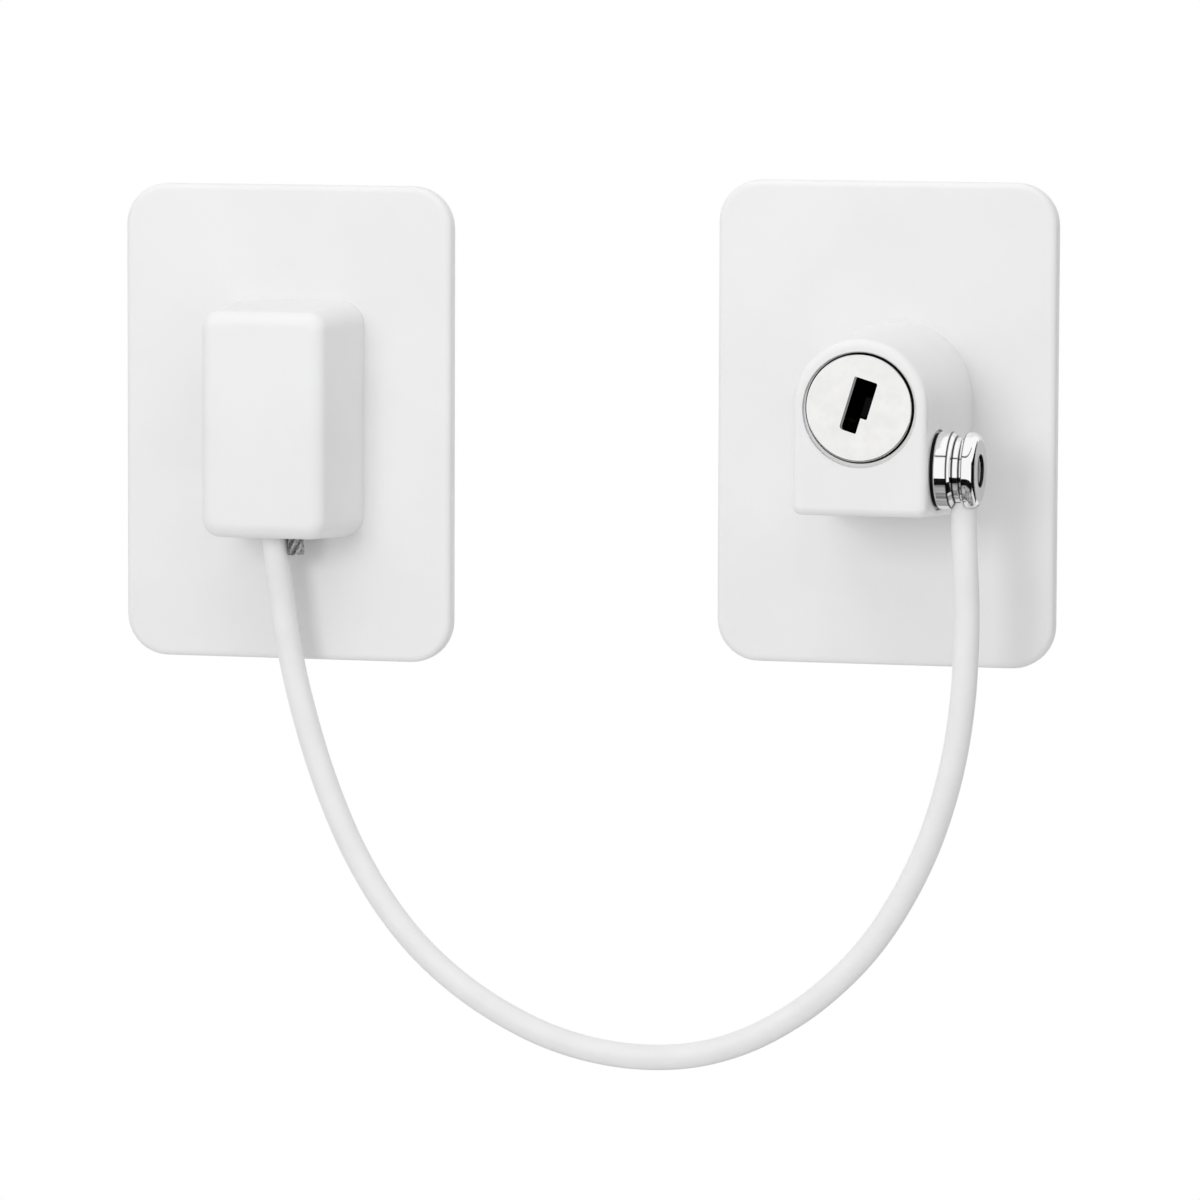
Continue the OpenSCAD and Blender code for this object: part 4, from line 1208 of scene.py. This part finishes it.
def chrome(name):
    material, tree, shader = new_finish(name, (0.95, 0.95, 0.95), 0.06, 1.0)
    vary_colour(tree, shader, grain(tree, 240, 3), (0.92, 0.92, 0.92), (0.97, 0.97, 0.97))
    vary_roughness(tree, shader, grain(tree, 700, 5, (0.2, 1, 1)), 0.04, 0.1)
    dent(tree, shader, grain(tree, 500, 2), 0.0006 * MM)
    return material, tree, shader


def chrome_with_painted_shade():
    """Chrome with painted shade at the recess and socket, painted dark lines along the groove, and a brushed flat
    end.
    """
    material, tree, shader = chrome("knob_chrome")
    mouth = (CABLE_ROUTE[-1][0], CABLE_ROUTE[-1][1], knob_low[2] + KNOB_GROOVE)
    shade_marks = [(PIN_AXIS, (0, 1, 1), *RECESS_SHADE), (mouth, (1, 1, 1), *SOCKET_SHADE)]
    for along, width, dark in (RIM_LINE, CORNER_LINE, FAR_LINE):
        shade_marks.append(((knob_low[0] + along, 0, 0), (1, 0, 0), width / 3, width, dark))
    colour = shader.inputs["Base Color"].links[0].from_socket
    # Each mask paints shade into the chrome's colour.
    for origin, kept, dark_to, unshaded_from, dark in shade_marks:
        mask = spread(tree, distance_from(tree, origin, kept), dark_to, unshaded_from, dark)
        colour = multiplied(tree, colour, mask)
    tree.links.new(colour, shader.inputs["Base Color"])
    lengthwise = add_node(tree, "ShaderNodeSeparateXYZ", {"Vector": places(tree)}).outputs["X"]
    end = knob_high[0]
    brushed = spread(tree, lengthwise, end - BRUSHED_FROM, end - BRUSHED_TO, 0.0, BRUSHED)
    polish = shader.inputs["Roughness"].links[0].from_socket
    finish = add_node(tree, "ShaderNodeMath", {0: polish, 1: brushed}, operation="MAXIMUM")
    tree.links.new(finish.outputs["Value"], shader.inputs["Roughness"])
    return material


KNOB_CHROME = chrome_with_painted_shade()
print("knob's chrome:", len(KNOB_CHROME.node_tree.nodes), "nodes")

# %% Turn the knob and bore its socket
KNOB_CROWN = 1.5 * MM
KNOB_EDGE = 0.35 * MM
KNOB_FAR_EDGE = 0.15 * MM
RECESS_EDGE = 0.12 * MM
RECESS_DEPTH = 1.2 * MM
FINE_EDGE = 0.1 * MM
SPINDLE_R = 2 * MM
SPINDLE_CLEAR = 0.05 * MM
SOCKET_R = 2.2 * MM
SOCKET_FLARE = (0.1 * MM, 0.9 * MM)
KNOB_STEPS = 192


def turned_size(node):
    """Start and end from the pin's origin along X, and radius, of a solid turned about the pin's axis."""
    low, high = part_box(node)
    return low[0] - PIN_AXIS[0], high[0] - PIN_AXIS[0], (high[2] - low[2]) / 2


def cable_knob():
    start, end, radius = turned_size("cable_knob")
    groove_r = radius - KNOB_GROOVE
    rim_end = start + KNOB_RIM
    floor_start = rim_end + KNOB_SLOPE
    floor_end = floor_start + KNOB_FLOOR
    bore_r = SPINDLE_R + SPINDLE_CLEAR
    profile = softened([
        (bore_r, start, 0), (radius, start, KNOB_EDGE), (radius, rim_end, FINE_EDGE),
        (groove_r, floor_start, FINE_EDGE), (groove_r, floor_end, FINE_EDGE),
        (radius, floor_end + KNOB_SLOPE, KNOB_FAR_EDGE), (radius, end, KNOB_CROWN),
        (RECESS_R, end, RECESS_EDGE), (RECESS_R, end - RECESS_DEPTH, 0), (bore_r, end - RECESS_DEPTH, 0),
    ], 7, closed=True)
    piece = spin("chrome_knob", profile, PIN_AXIS, "X", KNOB_STEPS, closed=True)
    socket_x, socket_y, _ = CABLE_ROUTE[-1]
    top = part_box("end_crimp")[1][2] + SPINDLE_CLEAR
    bottom = knob_low[2]
    flare_low, flare_high = (bottom + rise for rise in SOCKET_FLARE)
    socket = [(0, top), (SOCKET_R, top), (SOCKET_R, flare_high), (SOCKET_MOUTH_R, flare_low),
              (SOCKET_MOUTH_R, bottom - OVERCUT), (0, bottom - OVERCUT)]
    carve(piece, spin("socket", socket, (socket_x, socket_y, 0), "Z", BORE_STEPS))
    return piece


dress(cable_knob(), KNOB_CHROME, "knob", "chrome", "cable_knob")

# %% [markdown]
# The pin on the knob slides into the lock body, and its waist is where the cam's lobe shuts. A black nylon
# washer lies between knob and lock body, and a slotted screw in the recess holds pin and knob together.
# They are spun from softened profiles as well.

# %% Turn the pin, the washer and the screw
PIN_LEAD = 0.9 * MM
PIN_TIP_EDGE = 0.3 * MM
PIN_TIP_LEN = 2.9 * MM
PIN_WAIST_R = 1.7 * MM
PIN_GUIDE_X = 5.35 * MM
PIN_GUIDE_SLOPE = 0.5 * MM
PIN_GUIDE_EDGE = 0.15 * MM
THREAD_HOLE_R = 1.05 * MM
THREAD_HOLE_DEPTH = 4 * MM
WASHER_BORE_R = 3.1 * MM
THREAD_R = 1 * MM
THREAD_EDGE = 0.2 * MM
HEAD_T = 0.8 * MM
HEAD_EDGE = 0.25 * MM
DRIVER_SLOT_T = 0.7 * MM
DRIVER_SLOT_DEPTH = 0.4 * MM
DRIVER_SLOT_CUT = 1.6 * MM
DRIVER_SLOT_CORNER = 0.02 * MM


def black_nylon():
    material, tree, shader = new_finish("black_nylon", grey(0.006), 0.5, specular_ior_level=0.1)
    vary_colour(tree, shader, grain(tree, 900, 4), grey(0.003), grey(0.01))
    vary_roughness(tree, shader, grain(tree, 1500, 3), 0.42, 0.6)
    dent(tree, shader, grain(tree, 3000, 2), 0.01 * MM)
    return material


def locking_pin():
    tip, end, radius = turned_size("locking_pin")
    shoulder = tip + PIN_TIP_LEN
    spindle = turned_size("cable_knob")[0] - SPINDLE_CLEAR
    hole_end = end - THREAD_HOLE_DEPTH
    profile = softened([
        (0, tip, 0), (radius - PIN_LEAD, tip, PIN_TIP_EDGE), (radius, tip + PIN_LEAD, PIN_TIP_EDGE),
        (radius, shoulder, FINE_EDGE), (PIN_WAIST_R, shoulder, FINE_EDGE),
        (PIN_WAIST_R, PIN_GUIDE_X, FINE_EDGE), (radius, PIN_GUIDE_X + PIN_GUIDE_SLOPE, PIN_GUIDE_EDGE),
        (radius, spindle, FINE_EDGE),
        (SPINDLE_R, spindle, 0), (SPINDLE_R, end, FINE_EDGE), (THREAD_HOLE_R, end, 0),
        (THREAD_HOLE_R, hole_end, 0), (0, hole_end, 0)], 5)
    return spin("chrome_pin", profile, PIN_AXIS, "X", BORE_STEPS)


def nylon_washer():
    start, end, radius = turned_size("stud_washer")
    corners = ((WASHER_BORE_R, start), (radius, start), (radius, end), (WASHER_BORE_R, end))
    ring = softened([(r, d, FINE_EDGE) for r, d in corners], 4, closed=True)
    return spin("nylon_washer", ring, PIN_AXIS, "X", closed=True)


def slotted_screw():
    start, end, radius = turned_size("knob_screw")
    head = end - HEAD_T
    profile = softened([(0, start, 0), (THREAD_R, start, THREAD_EDGE), (THREAD_R, head, 0), (radius, head, 0),
                        (radius, end, HEAD_EDGE), (0, end, 0)], 5)
    piece = spin("slotted_screw", profile, PIN_AXIS, "X", BORE_STEPS)
    sides = [(0, -PIN_AXIS[1] + side * DRIVER_SLOT_T / 2) for side in (-1, 1)]
    slot_x = PIN_AXIS[0] + end - DRIVER_SLOT_DEPTH + DRIVER_SLOT_CUT / 2
    cut = rectangle_outline(DRIVER_SLOT_CUT, 3 * radius, DRIVER_SLOT_CORNER, 2)
    carve(piece, loft("slot", lambda *_: cut, sides, (slot_x, PIN_AXIS[2])))
    return piece


dress(locking_pin(), chrome("pin_chrome")[0], "pin", "chrome", "locking_pin")
dress(nylon_washer(), black_nylon(), "knob", "black_nylon", "stud_washer")
dress(slotted_screw(), ZINC_STEEL, "pin", "zinc_steel", "knob_screw")

# %% [markdown]
# ## The solids that stay
# The wafers, the sleeve, the cam, the clip, the post, the ferrule and a few small pins are simple metal
# pieces whose solids are already right. They keep their meshes and only get a finish from their slot.
# The wafers are brass too, but they get a darker copy of it, which is painted shade for where they sit deep in
# the keyway.

# %% Give the remaining solids their finishes
def brass():
    material, tree, shader = new_finish("brass", (0.72, 0.56, 0.28), 0.3, 1.0)
    vary_colour(tree, shader, grain(tree, 520, 5), (0.6, 0.44, 0.2), (0.78, 0.62, 0.32))
    vary_roughness(tree, shader, grain(tree, 1400, 3), 0.22, 0.42)
    dent(tree, shader, grain(tree, 1800, 2, (1, 1, 0.15)), 0.003 * MM)
    return material


def ferrule_aluminium():
    material, tree, shader = new_finish("ferrule_aluminium", (0.72, 0.73, 0.74), 0.42, 1.0)
    vary_colour(tree, shader, grain(tree, 600, 4), (0.62, 0.63, 0.64), (0.78, 0.79, 0.8))
    vary_roughness(tree, shader, grain(tree, 1000, 3), 0.34, 0.55)
    dent(tree, shader, grain(tree, 900, 2), 0.01 * MM)
    return material


# Painted shade: brass darkened for the wafers, which only show deep in the keyway.
def shade_darkened_brass():
    material, tree, shader = new_finish("shade_darkened_brass", (0.1, 0.085, 0.06), 0.45, 1.0)
    vary_colour(tree, shader, grain(tree, 900, 4), (0.04, 0.034, 0.025), (0.16, 0.135, 0.09))
    vary_roughness(tree, shader, grain(tree, 1400, 3), 0.35, 0.6)
    return material


finishes = {"zinc_steel": ZINC_STEEL, "brass": brass(), "ferrule_aluminium": ferrule_aluminium()}
SHADE_DARKENED_BRASS = shade_darkened_brass()
for part in frame["record"]["subparts"]:
    node = frame["nodes"][part["node"]]
    if part["material_slot"] in finishes and not node.hide_render:
        node.data.materials.clear()
        is_wafer = part["node"].startswith("wafer")
        node.data.materials.append(SHADE_DARKENED_BRASS if is_wafer else finishes[part["material_slot"]])
        print(part["node"], "keeps its solid, in", part["material_slot"])

# %% [markdown]
# ## Floor, light and reflections
# The lock is shown on white. An even room gives most of the light, a lamp a little to the left of the camera
# casts the short shadows, and a lamp overhead brightens what faces up.
# The floor lies below the hanging cable. Near the lock it is a plain pale surface that takes a shadow,
# and further out it turns white, so that it meets the white room without a line.
# Chrome only looks like chrome when it has something dark to mirror, so three curved cards and a grey table
# surround the knob. They are seen by reflections alone.

# %% Light the room
ROOM_LIGHT = 0.64
LAMP_TARGET = Vector((-0.045, -0.015, -0.02))
LAMPS = {"front_lamp": ((-0.231, -0.973, 0.197), 0.3, 2.35), "top_lamp": ((-0.02, -0.15, 0.36), 0.35, 0.46)}


def seen_by(tree, *kinds):
    """1 for these kinds of ray and 0 for all others."""
    rays = add_node(tree, "ShaderNodeLightPath").outputs
    seen = rays[kinds[0]]
    for kind in kinds[1:]:
        seen = add_node(tree, "ShaderNodeMath", {0: seen, 1: rays[kind]}, operation="MAXIMUM").outputs[0]
    return seen


def white_room():
    world = bpy.data.worlds.new("white_room")
    world.use_nodes = True
    tree = world.node_tree
    seen = seen_by(tree, "Is Camera Ray", "Is Glossy Ray", "Is Transmission Ray")
    strength = spread(tree, seen, 0.0, 1.0, ROOM_LIGHT, 1.0)
    background = tree.nodes["Background"]
    background.inputs["Color"].default_value = (1, 1, 1, 1)
    tree.links.new(strength, background.inputs["Strength"])
    scene.world = world


def soft_lamp(name, place, target, size, power):
    """A square lamp that is aimed at a target and leaves no mirror image of itself."""
    lamp = bpy.data.objects.new(name, bpy.data.lights.new(name, "AREA"))
    lamp.data.shape = "SQUARE"
    lamp.data.size = size
    lamp.data.energy = power
    lamp.location = place
    lamp.visible_glossy = False
    lamp.rotation_euler = (target - Vector(place)).to_track_quat("-Z", "Y").to_euler()
    scene.collection.objects.link(lamp)


white_room()
for name, (place, size, power) in LAMPS.items():
    soft_lamp(name, place, LAMP_TARGET, size, power)
print("room light", ROOM_LIGHT, "and", len(LAMPS), "lamps")

# %% Lay the floor and stand the cards round the knob
FLOOR_Z = -0.30
FLOOR_R = 4.0
FLOOR_MIDDLE = (-0.045, 0, FLOOR_Z)
FLOOR_FADE = (0.35, 0.85)
CARD_NOISE = (0.35, 0.65)
DRUM_R = 0.3
TABLE_FALL = math.radians(40)


def pale_floor():
    """A pale surface that takes shadows near the lock and fades to the room's white further out."""
    material, tree, shader = new_finish("pale_floor", grey(0.86), 0.9)
    far = spread(tree, distance_from(tree, FLOOR_MIDDLE), *FLOOR_FADE, interpolation_type="SMOOTHSTEP")
    seen = seen_by(tree, "Is Camera Ray", "Is Glossy Ray")
    share = add_node(tree, "ShaderNodeMath", {0: seen, 1: far}, operation="MULTIPLY")
    white = add_node(tree, "ShaderNodeEmission", {"Color": (1, 1, 1, 1), "Strength": 1.0})
    mixed = add_node(tree, "ShaderNodeMixShader", {
        0: share.outputs[0], 1: shader.outputs["BSDF"], 2: white.outputs["Emission"]})
    tree.links.new(mixed.outputs["Shader"], tree.nodes["Material Output"].inputs["Surface"])
    return material


def disc(middle, radius, count):
    """Points of a level circle, and its one face."""
    angles = [math.tau * k / count for k in range(count)]
    x, y, z = middle
    return [(x + radius * math.cos(a), y + radius * math.sin(a), z) for a in angles], [tuple(range(count))]


def card(name, points, faces, dark, light):
    """A card that shows only in reflections, mottled between two greys."""
    piece = add_piece(name, points, faces)
    material, tree, _ = new_finish(name, grey(0), 1.0)
    tone = spread(tree, grain(tree, 14, 3), *CARD_NOISE, dark, light)
    plain = add_node(tree, "ShaderNodeEmission", {"Color": tone, "Strength": 1.0})
    tree.links.new(plain.outputs["Emission"], tree.nodes["Material Output"].inputs["Surface"])
    piece.data.materials.append(material)
    piece.visible_camera = False
    piece.visible_diffuse = False
    piece.visible_shadow = False
    piece.visible_transmission = False


def curved_card(name, rise, turn, dark, light, steps=40):
    """A strip on a drum round the knob, between two angles of rise and two of turn from front to right."""
    points = []
    for i in range(steps + 1):
        angle = math.radians(turn[0] + (turn[1] - turn[0]) * i / steps)
        for degrees in rise:
            height = math.tan(math.radians(degrees))
            points.append(PIN_AXIS + DRUM_R * Vector((math.sin(angle), -math.cos(angle), height)))
    card(name, points, [(2 * i, 2 * i + 2, 2 * i + 3, 2 * i + 1) for i in range(steps)], dark, light)


floor = add_piece("floor", *disc((0, 0, FLOOR_Z), FLOOR_R, 64))
floor.data.materials.append(pale_floor())
curved_card("low_strip", (-40, -20), (-100, 100), 0.002, 0.01)
curved_card("high_strip", (42, 47), (-100, 100), 0.02, 0.1)
curved_card("right_strip", (-25, 13), (85, 150), 0.002, 0.01)
table_middle = (PIN_AXIS[0], PIN_AXIS[1], PIN_AXIS[2] - DRUM_R * math.tan(TABLE_FALL))
card("grey_table", *disc(table_middle, DRUM_R, 48), 0.1, 0.5)
print("floor at", FLOOR_Z, "m, with four cards for the chrome")
